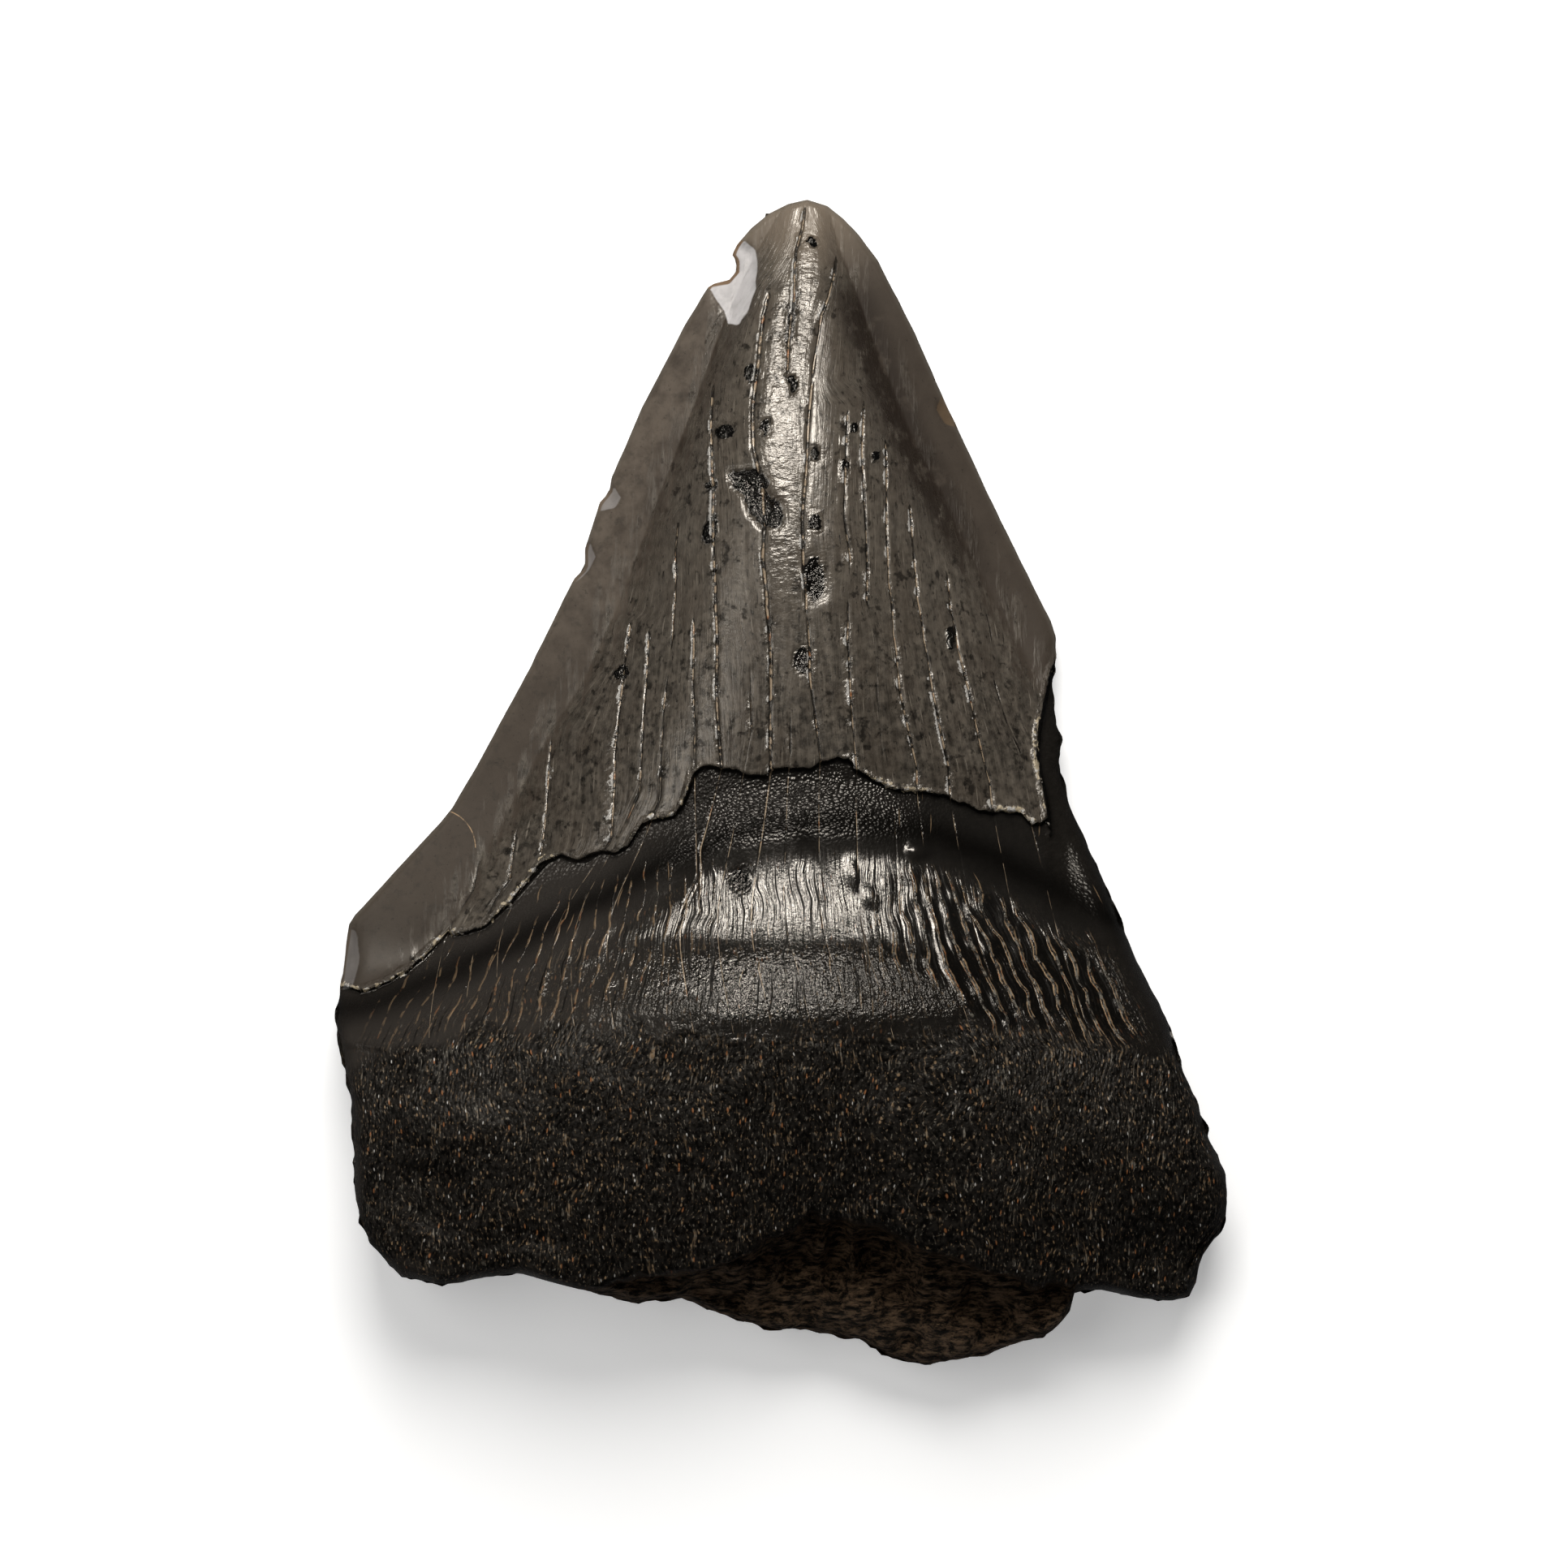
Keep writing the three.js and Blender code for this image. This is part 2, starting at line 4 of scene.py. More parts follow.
import bpy
import numpy as np
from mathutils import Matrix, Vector


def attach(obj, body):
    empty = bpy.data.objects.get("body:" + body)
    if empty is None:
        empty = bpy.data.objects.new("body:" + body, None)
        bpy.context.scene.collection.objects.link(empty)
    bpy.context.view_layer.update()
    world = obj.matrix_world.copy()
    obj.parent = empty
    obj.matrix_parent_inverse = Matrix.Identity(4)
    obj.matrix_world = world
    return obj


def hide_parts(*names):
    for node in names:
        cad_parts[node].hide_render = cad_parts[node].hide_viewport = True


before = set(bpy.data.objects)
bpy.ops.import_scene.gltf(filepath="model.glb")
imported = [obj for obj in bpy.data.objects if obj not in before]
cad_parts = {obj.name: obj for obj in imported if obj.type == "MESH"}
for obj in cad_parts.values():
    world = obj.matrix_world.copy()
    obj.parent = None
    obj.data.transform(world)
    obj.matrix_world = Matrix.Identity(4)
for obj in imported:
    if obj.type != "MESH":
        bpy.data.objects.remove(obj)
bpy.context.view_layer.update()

bl_info = {
    "name": "Fossil megalodon tooth",
    "version": (1, 0, 0),
    "blender": (4, 5, 0),
    "location": "3D View > Sidebar > Fossil tooth",
    "description": "Makes a fossil shark tooth with a cracked crown and a broken root, and a studio for it",
    "category": "Add Mesh",
}

# Lengths in the lists below are millimetres from the middle of the tooth, as in the solid.
# Blender works in metres.
MM = 0.001
HALF_LENGTH = 55
HALF_WIDTH = 42

# Outline, as (x, y). The two sides run from the base to the tip.
LEFT_SIDE = [
    (-35.7, -46.5), (-37.7, -44.4), (-38.9, -43.1), (-39.6, -41), (-40.1, -39.1), (-40.2, -35.7),
    (-40.4, -30), (-HALF_WIDTH, -22.5), (-41.3, -16.4), (-40.8, -13.1), (-31.5, -3), (-31.1, -2.4),
    (-29.1, 1), (-23.8, 10.8), (-19.7, 19.1), (-18.6, 20.2), (-18.6, 22), (-17.2, 26.4), (-16.3, 27.4),
    (-16.1, 28.7), (-13.2, 35.4), (-9.2, 43.1), (-6.8, 47), (-5.1, 47.3), (-4.3, 48.2), (-4.3, 49.2),
    (-4.7, 49.8), (-4.2, 50.8), (-2.9, 52.3), (-1.2, 53.7),
]
RIGHT_SIDE = [
    (39.3, -45), (40.2, -43.5), (41.2, -42.5), (41.8, -40.7), (HALF_WIDTH, -38.8), (41.7, -36.8),
    (41.1, -35.4), (40, -33.3), (39.3, -30.8), (38.4, -28.7), (37.1, -25.6), (36.2, -22.1),
    (33.4, -16.9), (30.9, -10.8), (27.2, -2.3), (26.3, 0.8), (26.3, 4.2), (25.6, 8), (25.9, 13.6),
    (25.4, 15.2), (21.1, 23.8), (15.6, 35.5), (12.6, 42.3), (9.1, 49.2), (7.4, 51.5), (5.8, 53.2),
]
TIP = [(-1.2, 53.7), (0.6, 54.6), (2.4, HALF_LENGTH), (4.3, 54.4), (5.8, 53.2)]
BASE = [
    (-35.7, -46.5), (-34.2, -46.7), (-32, -47.2), (-30, -47), (-27.8, -46.5), (-24.6, -46.1),
    (-20, -47.4), (-13.9, -49), (-9.4, -48.5), (-6.4, -49.9), (-1, -51.5), (3.2, -51.8), (7.5, -52.6),
    (10.3, -54.2), (13.5, -HALF_LENGTH), (19, -54.1), (22.1, -52.8), (24.8, -52.1), (26.4, -50.9),
    (27.2, -49.6), (27.6, -47.9), (30, -47.8), (34, -48.7), (36.7, -48.9), (38.4, -48.4), (39.1, -47),
    (39.3, -45),
]
OUTLINE = BASE + RIGHT_SIDE[1:] + TIP[-2::-1] + LEFT_SIDE[-2::-1]

# Lines across the tooth, as (x, y) from left to right
ENAMEL_EDGE = [
    (-42, -19.3), (-39.1, -19.5), (-36.2, -18.2), (-33.9, -16.5), (-31.6, -14.3), (-29.5, -14), (-27.7, -13.3),
    (-24.7, -10.1), (-22.9, -7.6), (-21.3, -6.8), (-19.9, -7), (-18.6, -7.5), (-17.4, -6.5), (-15.4, -6.4),
    (-14, -5.8), (-13.3, -4.1), (-12.5, -3.6), (-9.8, -3), (-8.8, -1.1), (-8.3, 0.9), (-7.3, 1.6), (-4.5, 1.2),
    (-1.4, 0.5), (-0.5, 1.3), (2.8, 1.3), (3.7, 1.9), (5.3, 2.4), (6.5, 2.1), (7.1, 1.1), (8.8, 0.1),
    (10.8, -0.6), (13.5, -0.8), (16.9, -2), (18.1, -2.6), (21.1, -2.7), (22.8, -3.1), (23.6, -3.9), (25, -3.6),
    (29, -5),
]
ENAMEL_BREAK = [(25, -5), (25, -3.6), (24.7, -1.6), (23.9, 2.2), (24.1, 5), (24.7, 7.8), (25.3, 10.5), (26.6, 13.2)]
# How crumbled the enamel's edge is, as (x, share)
CRUMBS = [
    (-40, 0.9), (-31, 0.95), (-28, 0.6), (-25, 0.8), (-22, 1), (-20, 0.2), (-15, 0.4), (-13, 0.8), (-9, 0.7), (-7, 0),
    (5, 0), (7, 0.7), (9, 1), (13, 1), (15, 0.3), (19, 0.4), (20, 1), (23.5, 1), (24.5, 0.7), (26, 0.3),
]
OUTER_ENAMEL_EDGE = [
    (-42, -19), (-34, -18.4), (-27, -16.6), (-21, -15.6), (-13, -13.4), (-6, -12.2), (1, -11.6), (8, -12.3),
    (15, -12.6), (21, -11.2), (26, -8.2), (31, -7),
]
SHOULDER = [(-42, -14.5), (-30, -5.5), (-18, 0.5), (-8, 4.6), (4, 5.6), (16, 3.6), (27, 1.5)]
NECK = [
    (-42, -22.8), (-37, -21.4), (-27.8, -17.3), (-20.1, -13.1), (-14, -10.1), (-7.9, -6.6), (-1.8, -4.8),
    (5.8, -4.4), (13.5, -5.2), (19.6, -7.8), (25.7, -11), (34, -15.5),
]
CREST = [(-42, -29), (-31, -26.5), (-17, -24.4), (-6, -23.6), (9, -23.4), (24, -25), (38, -29)]
ROUGH_EDGE = [
    (-42, -26.5), (-35.4, -25), (-30.8, -23), (-24, -22.8), (-17.1, -22.3), (-12.5, -21.9), (-6.4, -22.8),
    (8.9, -22.8), (16.5, -22.4), (24.2, -23.3), (33.4, -24.6), (37.2, -25.7),
]
ROOT_STEP = [
    (-42, -46), (-24, -45.6), (-19, -46.8), (-16, -46.3), (-8.7, -45), (-4.8, -44.6), (-1.8, -42.5), (2.8, -40.2),
    (6.2, -40.5), (8.9, -41.4), (12, -42.9), (15.8, -44.4), (19.6, -45.6), (23.4, -46.6), (28, -46.4), (42, -46),
]

# Inner borders of the smooth blade margins, as (y, x) from the root up
MARGIN_LEFT = [
    (-18, -34.8), (-14, -32.7), (-10.4, -30.3), (-2.7, -26), (4.9, -21.9), (8.8, -19.2), (16.4, -15.6),
    (25.6, -12.1), (35.5, -8.3), (43.1, -5.6), (49.2, -2.9), (HALF_LENGTH, 0.5),
]
MARGIN_RIGHT = [
    (-5, 27), (7.1, 25.2), (12.5, 22.6), (18.6, 19.2), (26.3, 15.4), (33.1, 12), (40.8, 8.9), (48.4, 6.2),
    (HALF_LENGTH, 3.5),
]

RIDGE_X = [(-50, 0), (0, 0.2), (15, 0.2), (25, 0.4), (35, 0.5), (42, 0.9), (47, 1.8), (HALF_LENGTH, 2.4)]
# Fall of the crown's ridge from the thickness at the enamel's edge, as (y, drop)
RIDGE_DROP = [
    (-20, 0), (0, 0.2), (10, 0.7), (20, 1.8), (28, 3.3), (33, 4.7), (40, 7.2), (46, 9.4), (49, 10.5), (52, 11.95),
    (HALF_LENGTH, 13.4),
]

# Rise from the neck to the crest of the bulge, as (share of the way, share of the rise)
BULGE_RISE = [
    (-0.28, 0), (0, 0.089), (0.143, 0.118), (0.344, 0.306), (0.466, 0.452), (0.71, 0.807), (0.81, 0.912),
    (0.9, 0.975), (1, 1),
]

# Small unevenness of the sides, as (y, mm), of the base and of the enamel's edge, in mm
SIDE_ROUGHNESS = {
    "left": [(-47, 0.28), (-20, 0.22), (-14, 0.04), (HALF_LENGTH, 0.03)],
    "right": [(-47, 0.28), (-20, 0.16), (-6, 0.12), (0, 0.22), (12, 0.2), (14, 0.03), (HALF_LENGTH, 0.03)],
}
BASE_ROUGHNESS = 0.22
ENAMEL_ROUGHNESS = 0.22

# The rim all round. On the sides, as (y, value): height of the rim line, half of its thickness, rounding radius
RIM_MIDDLE = {
    "left": [(-47, 8), (-30, 7.8), (-24, 6.6), (-20.5, 4.4), (-17.5, 3.1), (-13, 2.6), (0, 2.1), (30, 1.8), (55, 2.2)],
    "right": [(-47, 4.6), (-38, 6.8), (-30, 8), (-15, 6.4), (-4, 4.4), (6, 3.2), (13, 2.2), (30, 1.8), (55, 2.2)],
    "base": [(-38, 8), (-20, 7), (-6, 5.2), (12, 3.8), (24, 4.4), (30, 4.6), (40, 4.6)],
}
RIM_HALF = {
    "left": [(-47, 5), (-30, 5.2), (-24, 4.2), (-20.5, 2.1), (-17.5, 1.1), (-13, 0.8), (0, 0.7), (30, 0.6), (55, 0.9)],
    "right": [(-47, 3.4), (-38, 4.6), (-30, 5.4), (-15, 4.4), (-4, 2.9), (6, 1.8), (13, 0.9), (20, 0.6), (55, 0.9)],
    "base": [(-38, 5.2), (-20, 4.8), (-6, 3.8), (12, 2.8), (24, 3.2), (30, 3.4), (40, 3.4)],
}
RIM_RADIUS = {
    "left": [(-47, 1.4), (-30, 1.5), (-23, 1.5), (-18, 1.2), (-13, 0.8), (0, 0.6), (55, 0.6)],
    "right": [(-47, 1.4), (-30, 1.6), (-15, 1.5), (-4, 1.4), (6, 1.2), (13, 0.8), (20, 0.6), (55, 0.6)],
    "base": [(-38, 1.4), (-22, 1.2), (-12, 1), (22, 1), (30, 1.2), (40, 1.4)],
}
LEDGE_OUTER_HEIGHT = [(-20, 12), (-6, 9.4), (8, 8), (20, 9), (30, 12)]
# Uneven surface of the broken base, as waves: (height, turn per mm in x, turn per mm in y)
BROKEN_WAVES = [(0.5, 0.75, 0.2), (0.35, 0.4, 1.3), (0.3, 1.7, -0.9)]

# Cracks that fan down the crown. line: (x, y) from the tip down. runs: (top y, bottom y, depth) of the open
# stretches. half: half width of the worn strip. A line goes on as a faint seam in the neck and root.
CRACKS = [
    dict(line=[(-28.8, -8.8), (-29.1, -10.4)], runs=[(-7, -12, 0.12)], half=0.15),
    dict(line=[(-25.1, -5.1), (-25.6, -9.3)], runs=[(-4, -11, 0.15)], half=0.15),
    dict(line=[(-21.7, 4.5), (-22, 0.3), (-22.7, -7.4)], runs=[(4.6, -7, 0.2)], half=0.15),
    dict(line=[(-14.2, 15.2), (-14.6, 12.5), (-15.1, 7.9), (-15.6, 3.3), (-16, -5.5)], runs=[(15.5, -6, 0.22)], half=0.18),
    dict(line=[(-12.5, 14.4), (-12.7, 9.4), (-13.1, 2.6), (-13.3, -0.9)], runs=[(14.8, -3.6, 0.2)], half=0.18),
    dict(line=[(-9.7, 24.7), (-10, 21.7), (-10.3, 12.9), (-11, 7.1), (-11.4, -1.6)],
         runs=[(25, 12.5, 0.18), (10.6, -2.6, 0.18)], half=0.18),
    dict(line=[(-8.3, 15.9), (-8.3, 10.2), (-8.1, 4.9), (-8.1, -2), (-7.9, -8.9)],
         runs=[(16, 1.4, 0.2), (1.4, -12, 0.1)], half=0.18),
    dict(line=[(-6.4, 37.7), (-6.6, 31.6), (-6.4, 27), (-6.4, 21.7), (-6.2, 17.1), (-6.1, 8.7), (-5.6, 1.4)],
         runs=[(37.7, 1.4, 0.4), (1.4, -20, 0.1)], half=0.22),
    dict(line=[(-2.9, 11), (-2.8, 4.9)], runs=[(11, 4.6, 0.12), (-4, -22, 0.08)], half=0.15),
    dict(line=[(-1.2, 46.5), (-1.8, 43.1), (-2.2, 39.3), (-2.7, 35.4), (-2.6, 30.8), (-1.8, 27.8), (-1.6, 24),
               (-1.8, 20.9), (-1.4, 16.3), (-1, 8.7), (-1, 1)],
         runs=[(46.6, 29, 0.42), (29, 0.6, 0.22), (0.6, -16, 0.08)], half=0.28),
    dict(line=[(2.2, 54.2), (2, 52.6), (1.5, 50.7), (1.2, 48.4), (1.1, 44.6), (0.6, 40.8), (0.8, 7.1), (0.8, 2.9)],
         runs=[(54.6, 38.6, 0.32), (7.2, 2.6, 0.12)], half=0.18),
    dict(line=[(5.1, 49.6), (4.5, 46.1), (3.7, 43.8), (3, 39.3), (2.5, 33.9), (2.3, 29.3), (1.9, 24.7), (2, 20.1),
               (2.3, 15.6), (2.6, 10.2), (3.2, 5.6), (3.6, 2.2)],
         runs=[(50, 38, 0.22), (38, 16, 0.36), (16, 1.6, 0.2)], half=0.22),
    dict(line=[(6.2, 35.4), (6, 30.8), (5.8, 24.7), (6.4, 20.9), (6.1, 17.5), (6.1, 13.3), (6.4, 8.7), (6.8, 3.3),
               (7, 1)], runs=[(35.4, 20.4, 0.2), (17.6, 1.2, 0.18), (1, -9, 0.07)], half=0.18),
    dict(line=[(7.7, 36.2), (7.5, 30.8), (7.8, 24.7), (7.9, 17.1)], runs=[(36.4, 16.6, 0.24)], half=0.18),
    dict(line=[(9.7, 32.4), (9.8, 23.2), (10, 18.6), (10.4, 14), (11, 8.7), (12, 4.1), (12.6, 1.4)],
         runs=[(32.6, -0.6, 0.24)], half=0.18),
    dict(line=[(12, 26.3), (12.3, 21.7), (12.7, 17.1), (13.3, 13.3), (14.4, 7.1), (15.6, 1.4)],
         runs=[(26.5, -1.2, 0.24)], half=0.18),
    dict(line=[(15.4, 20.1), (15.8, 16.3), (16.5, 12.5), (17.5, 8.7), (18.3, 4.9), (19.5, -0.1)],
         runs=[(20.3, -2.6, 0.24)], half=0.18),
    dict(line=[(19.1, 16.3), (19.8, 10.2), (21.1, 5.6), (22.4, 2.9), (23, -2)],
         runs=[(16.5, 13, 0.12), (10.4, 5.4, 0.12), (5, 2.6, 0.12)], half=0.15),
]
SEAM_DEPTH = 0.05
PIT_SCALE = 1.4
HAMMER_BETWEEN = (9, 11)
HAIRLINE_CENTRE = (-32.5, -6.2)
HAIRLINE_RADIUS = 3.6
SEAM_END = -24

# Slant of the growth ridges on the bulge, as (x, dx per dy), their reach from top to bottom as (x, y), and
# how strongly they stand out, as (x, share)
STRAND_SLOPE = [(-36, -0.45), (-24, -0.32), (-15, -0.22), (-10, -0.1), (-4, 0), (9, 0.08), (18, 0.45), (40, 0.45)]
STRAND_TOP = [
    (-40, -20), (-34, -17.8), (-27, -14.6), (-22, -12.4), (-15, -9.6), (-9, -7.6), (0, -9), (8, -9.6), (14, -8.4),
    (17, -10), (22, -12.6), (28, -14.8), (33, -17),
]
STRAND_BOTTOM = [(-40, -26), (-27, -22.8), (-14, -20), (-6, -16), (6, -16), (12, -18), (20, -22), (31, -23.8), (40, -26)]
STRAND_SHARE = [(-36, 0.2), (-24, 0.45), (-14, 0.6), (-9, 0.35), (-4, 0), (7, 0), (10, 0.6), (15, 1), (34, 1)]
RIGHT_BEVEL = [
    (25, -4), (28.7, -10.4), (31.8, -18), (33.4, -24.2), (35.7, -31.8), (39.5, -37.2), (43, -42),
]
SECOND_GROOVE = [(-42, -28.6), (-38, -26.2), (-34, -24.6)]

# Hollows: centre x, y, half width, half length, degrees off the Y axis, depth
SOFT_HOLLOWS = [
    (5.2, -44.5, 1.3, 4.8, 0, 1.6), (9.2, -43.8, 2.8, 2.6, 40, 1.7), (-38.5, -26.8, 4.2, 2, 12, 0.8),
    (-32, -39, 4.5, 3.2, 30, 0.5), (-9.5, -8.5, 3.2, 1.2, -55, 0.25), (3, -8, 3.5, 1, 70, 0.2),
]
SHARP_PITS = [
    (-3.2, 28.2, 1.7, 1, 15, 0.8), (-2.3, 26.4, 1, 2.9, -29, 1), (-0.7, 25, 0.8, 1.2, -10, 0.6),
    (-5.3, 32.9, 0.85, 0.65, 0, 0.5), (-6.7, 27.8, 0.7, 0.7, 0, 0.45), (-6.7, 23.9, 0.6, 1.6, 0, 0.35),
    (3.1, 19, 0.9, 2.1, -6, 0.6), (2, 11.4, 0.7, 1.1, 0, 0.45), (3.1, 30.7, 0.5, 0.6, 0, 0.4),
    (5.9, 29.5, 0.35, 0.7, 0, 0.35), (6.7, 33.2, 0.45, 0.45, 0, 0.35), (8.6, 30.6, 0.45, 0.6, 0, 0.3),
    (-15.1, 10.3, 0.7, 0.8, 0, 0.4), (-2.9, 38.3, 0.65, 0.8, 0, 0.45), (0.7, 43, 0.5, 1.8, 4, 0.4),
    (0.9, 37.2, 0.45, 0.9, 0, 0.35), (-3.7, -9.1, 0.75, 0.95, 0, 0.6), (3, 24.2, 0.5, 1, 0, 0.35),
    (2.9, 50.8, 0.4, 0.5, 0, 0.25), (15.8, 13.3, 0.4, 1.1, 8, 0.18), (-1.6, 33.2, 0.5, 0.7, 0, 0.4),
]
LOW_RIDGES = [
    (-31.5, -31.5, 5, 2.6, 10, 0.6), (12.7, -6.4, 1, 0.8, 0, 0.45), (-24, -45, 5, 2, 0, 0.5), (8.1, -10.6, 0.6, 1.3, -25, 0.35),
    (6.6, -8.4, 0.5, 1.5, -12, 0.3),
]

# Chips out of the blades, as closed outlines with the drop of the broken face below the enamel and how pale the
# break is
CHIPS = [
    dict(outline=[(-4.9, 51.4), (-3.4, 50.95), (-2.5, 50.2), (-2.3, 48.7), (-2.5, 46.4), (-3.25, 44.25),
                  (-4.1, 43), (-5.1, 43.2), (-5.5, 44.5), (-6.15, 45.5), (-6.6, 46.3), (-7.4, 47), (-7.4, 49)],
         drop=0.55, tone=1.0),
    dict(outline=[(15.1, 36.6), (14.6, 35.2), (15.4, 33.8), (18, 33), (17, 37.6)], drop=0.3, tone=0.7),
    dict(outline=[(-18, 28), (-15.8, 27.7), (-15.2, 26.8), (-15.7, 25.9), (-17, 25.6), (-19, 25.4)], drop=0.3, tone=0.3),
    dict(outline=[(-21, 22.6), (-18, 22.4), (-17.6, 21.2), (-18.3, 19.9), (-19.4, 18.9), (-22, 18.4)], drop=0.3, tone=0.25),
    dict(outline=[(-44, -13.6), (-40.2, -14), (-39.8, -16.6), (-40.4, -19.4), (-44, -20)], drop=0.35, tone=0.16),
]

# Lattice of the domed face, as the number of rows between each two guide lines, base to tip
ROWS_BETWEEN_GUIDES = [8, 28, 3, 50, 45, 22, 2, 12, 142, 8]
RIM_COLUMNS = 10
BUNDLE_OFFSETS = (-1, -0.4, 0, 0.4, 1)
FILLER_SPACING = 0.5
SETTLING_ROUNDS = 14
SOFTENING_STEPS = (-1, -0.6, -0.2, 0.2, 0.6, 1)
SIDE_SMOOTHING = 3
GUIDE_SMOOTHING = 5
PROFILE_SMOOTHING = 3
ROOT_LEVEL = -30
FAN_LEVEL = 5
STRAND_WIDTH = 1.45
STRAND_START = 2
SPECULAR_TINT = (1, 0.94, 0.86)


def smooth_step(low, high, value):
    t = np.clip((value - low) / (high - low), 0, 1)
    return t * t * (3 - 2 * t)


def mix(a, b, share):
    return a + (b - a) * share


def line_at(points, key):
    """The value of a polyline of (key, value) at each key, held constant past its ends."""
    keys, values = np.array(points, float).T
    return np.interp(key, keys, values)


def soft_line_at(points, key, reach):
    """The same line with its corners rounded, as the mean over a window."""
    return sum(line_at(points, key + step * reach) for step in SOFTENING_STEPS) / len(SOFTENING_STEPS)


def by_y(points):
    return [(y, x) for x, y in points]


LEFT_BY_Y = by_y(LEFT_SIDE)
RIGHT_BY_Y = by_y(RIGHT_SIDE)


def grid_value(ix, iy, seed):
    """A fixed pseudo-random value from -1 to 1 for each whole-numbered grid point."""
    n = (ix * 374761393 + iy * 668265263 + seed * 1442695041) & 0xFFFFFFFF
    n = ((n ^ (n >> 13)) * 1274126177) & 0xFFFFFFFF
    return ((n ^ (n >> 16)) & 0xFFFF) / 32767.5 - 1


def smooth_noise(x, y, size, seed, octaves=1):
    """Rolling noise from -1 to 1 with features of about the given size, finer and weaker with each octave."""
    total = np.zeros(np.broadcast(x, y).shape)
    strength = 1
    for octave in range(octaves):
        px = x / size * 2 ** octave + 37.7 * seed
        py = y / size * 2 ** octave - 21.3 * seed
        ix = np.floor(px).astype(np.int64)
        iy = np.floor(py).astype(np.int64)
        tx = smooth_step(0, 1, px - ix)
        ty = smooth_step(0, 1, py - iy)
        low = mix(grid_value(ix, iy, seed), grid_value(ix + 1, iy, seed), tx)
        high = mix(grid_value(ix, iy + 1, seed), grid_value(ix + 1, iy + 1, seed), tx)
        total = total + mix(low, high, ty) * strength
        strength /= 2
    return total


def distance_to_line(points, x, y):
    """Distance of each point from a polyline."""
    nearest = np.full(np.shape(x), np.inf)
    for (x0, y0), (x1, y1) in zip(points, points[1:]):
        along = ((x - x0) * (x1 - x0) + (y - y0) * (y1 - y0)) / ((x1 - x0) ** 2 + (y1 - y0) ** 2)
        t = np.clip(along, 0, 1)
        nearest = np.minimum(nearest, np.hypot(x - mix(x0, x1, t), y - mix(y0, y1, t)))
    return nearest


def inside_outline(outline, x, y):
    """True where a point lies inside a closed outline, by counting the edges to its right."""
    inside = np.zeros(np.shape(x), bool)
    for (x0, y0), (x1, y1) in zip(outline, outline[1:] + outline[:1]):
        if y0 == y1:
            continue
        crosses = (y0 > y) != (y1 > y)
        inside ^= crosses & (x < x0 + (y - y0) * (x1 - x0) / (y1 - y0))
    return inside


def hollow(x, y, shape, edge_low=0.25, edge_high=1.4):
    """Depth of an oval hollow at each point."""
    cx, cy, half_width, half_length, turn, depth = shape
    angle = math.radians(turn)
    along = (x - cx) * math.sin(angle) + (y - cy) * math.cos(angle)
    side = (x - cx) * math.cos(angle) - (y - cy) * math.sin(angle)
    reach = (along / half_length) ** 2 + (side / half_width) ** 2
    return depth * (1 - smooth_step(edge_low, edge_high, reach))


def side_line(side, y):
    """x of the tooth's left or right side, with its small unevenness."""
    points, row = (LEFT_BY_Y, 31) if side == "left" else (RIGHT_BY_Y, 47)
    return line_at(points, y) + line_at(SIDE_ROUGHNESS[side], y) * smooth_noise(np.full_like(y, row), y, 1.3, row, 2)


def base_line(x):
    """y of the broken base, with its small unevenness. It fades out at the corners."""
    fade = smooth_step(-35.7, -34, x) * (1 - smooth_step(37.5, 39.3, x))
    return line_at(BASE, x) + BASE_ROUGHNESS * fade * smooth_noise(x, np.full_like(x, 5), 1.2, 9, 2)


def enamel_wander(x):
    """Fine scallops of the enamel's edge."""
    return ENAMEL_ROUGHNESS * smooth_noise(x, np.full_like(x, 3), 0.9, 13, 2)


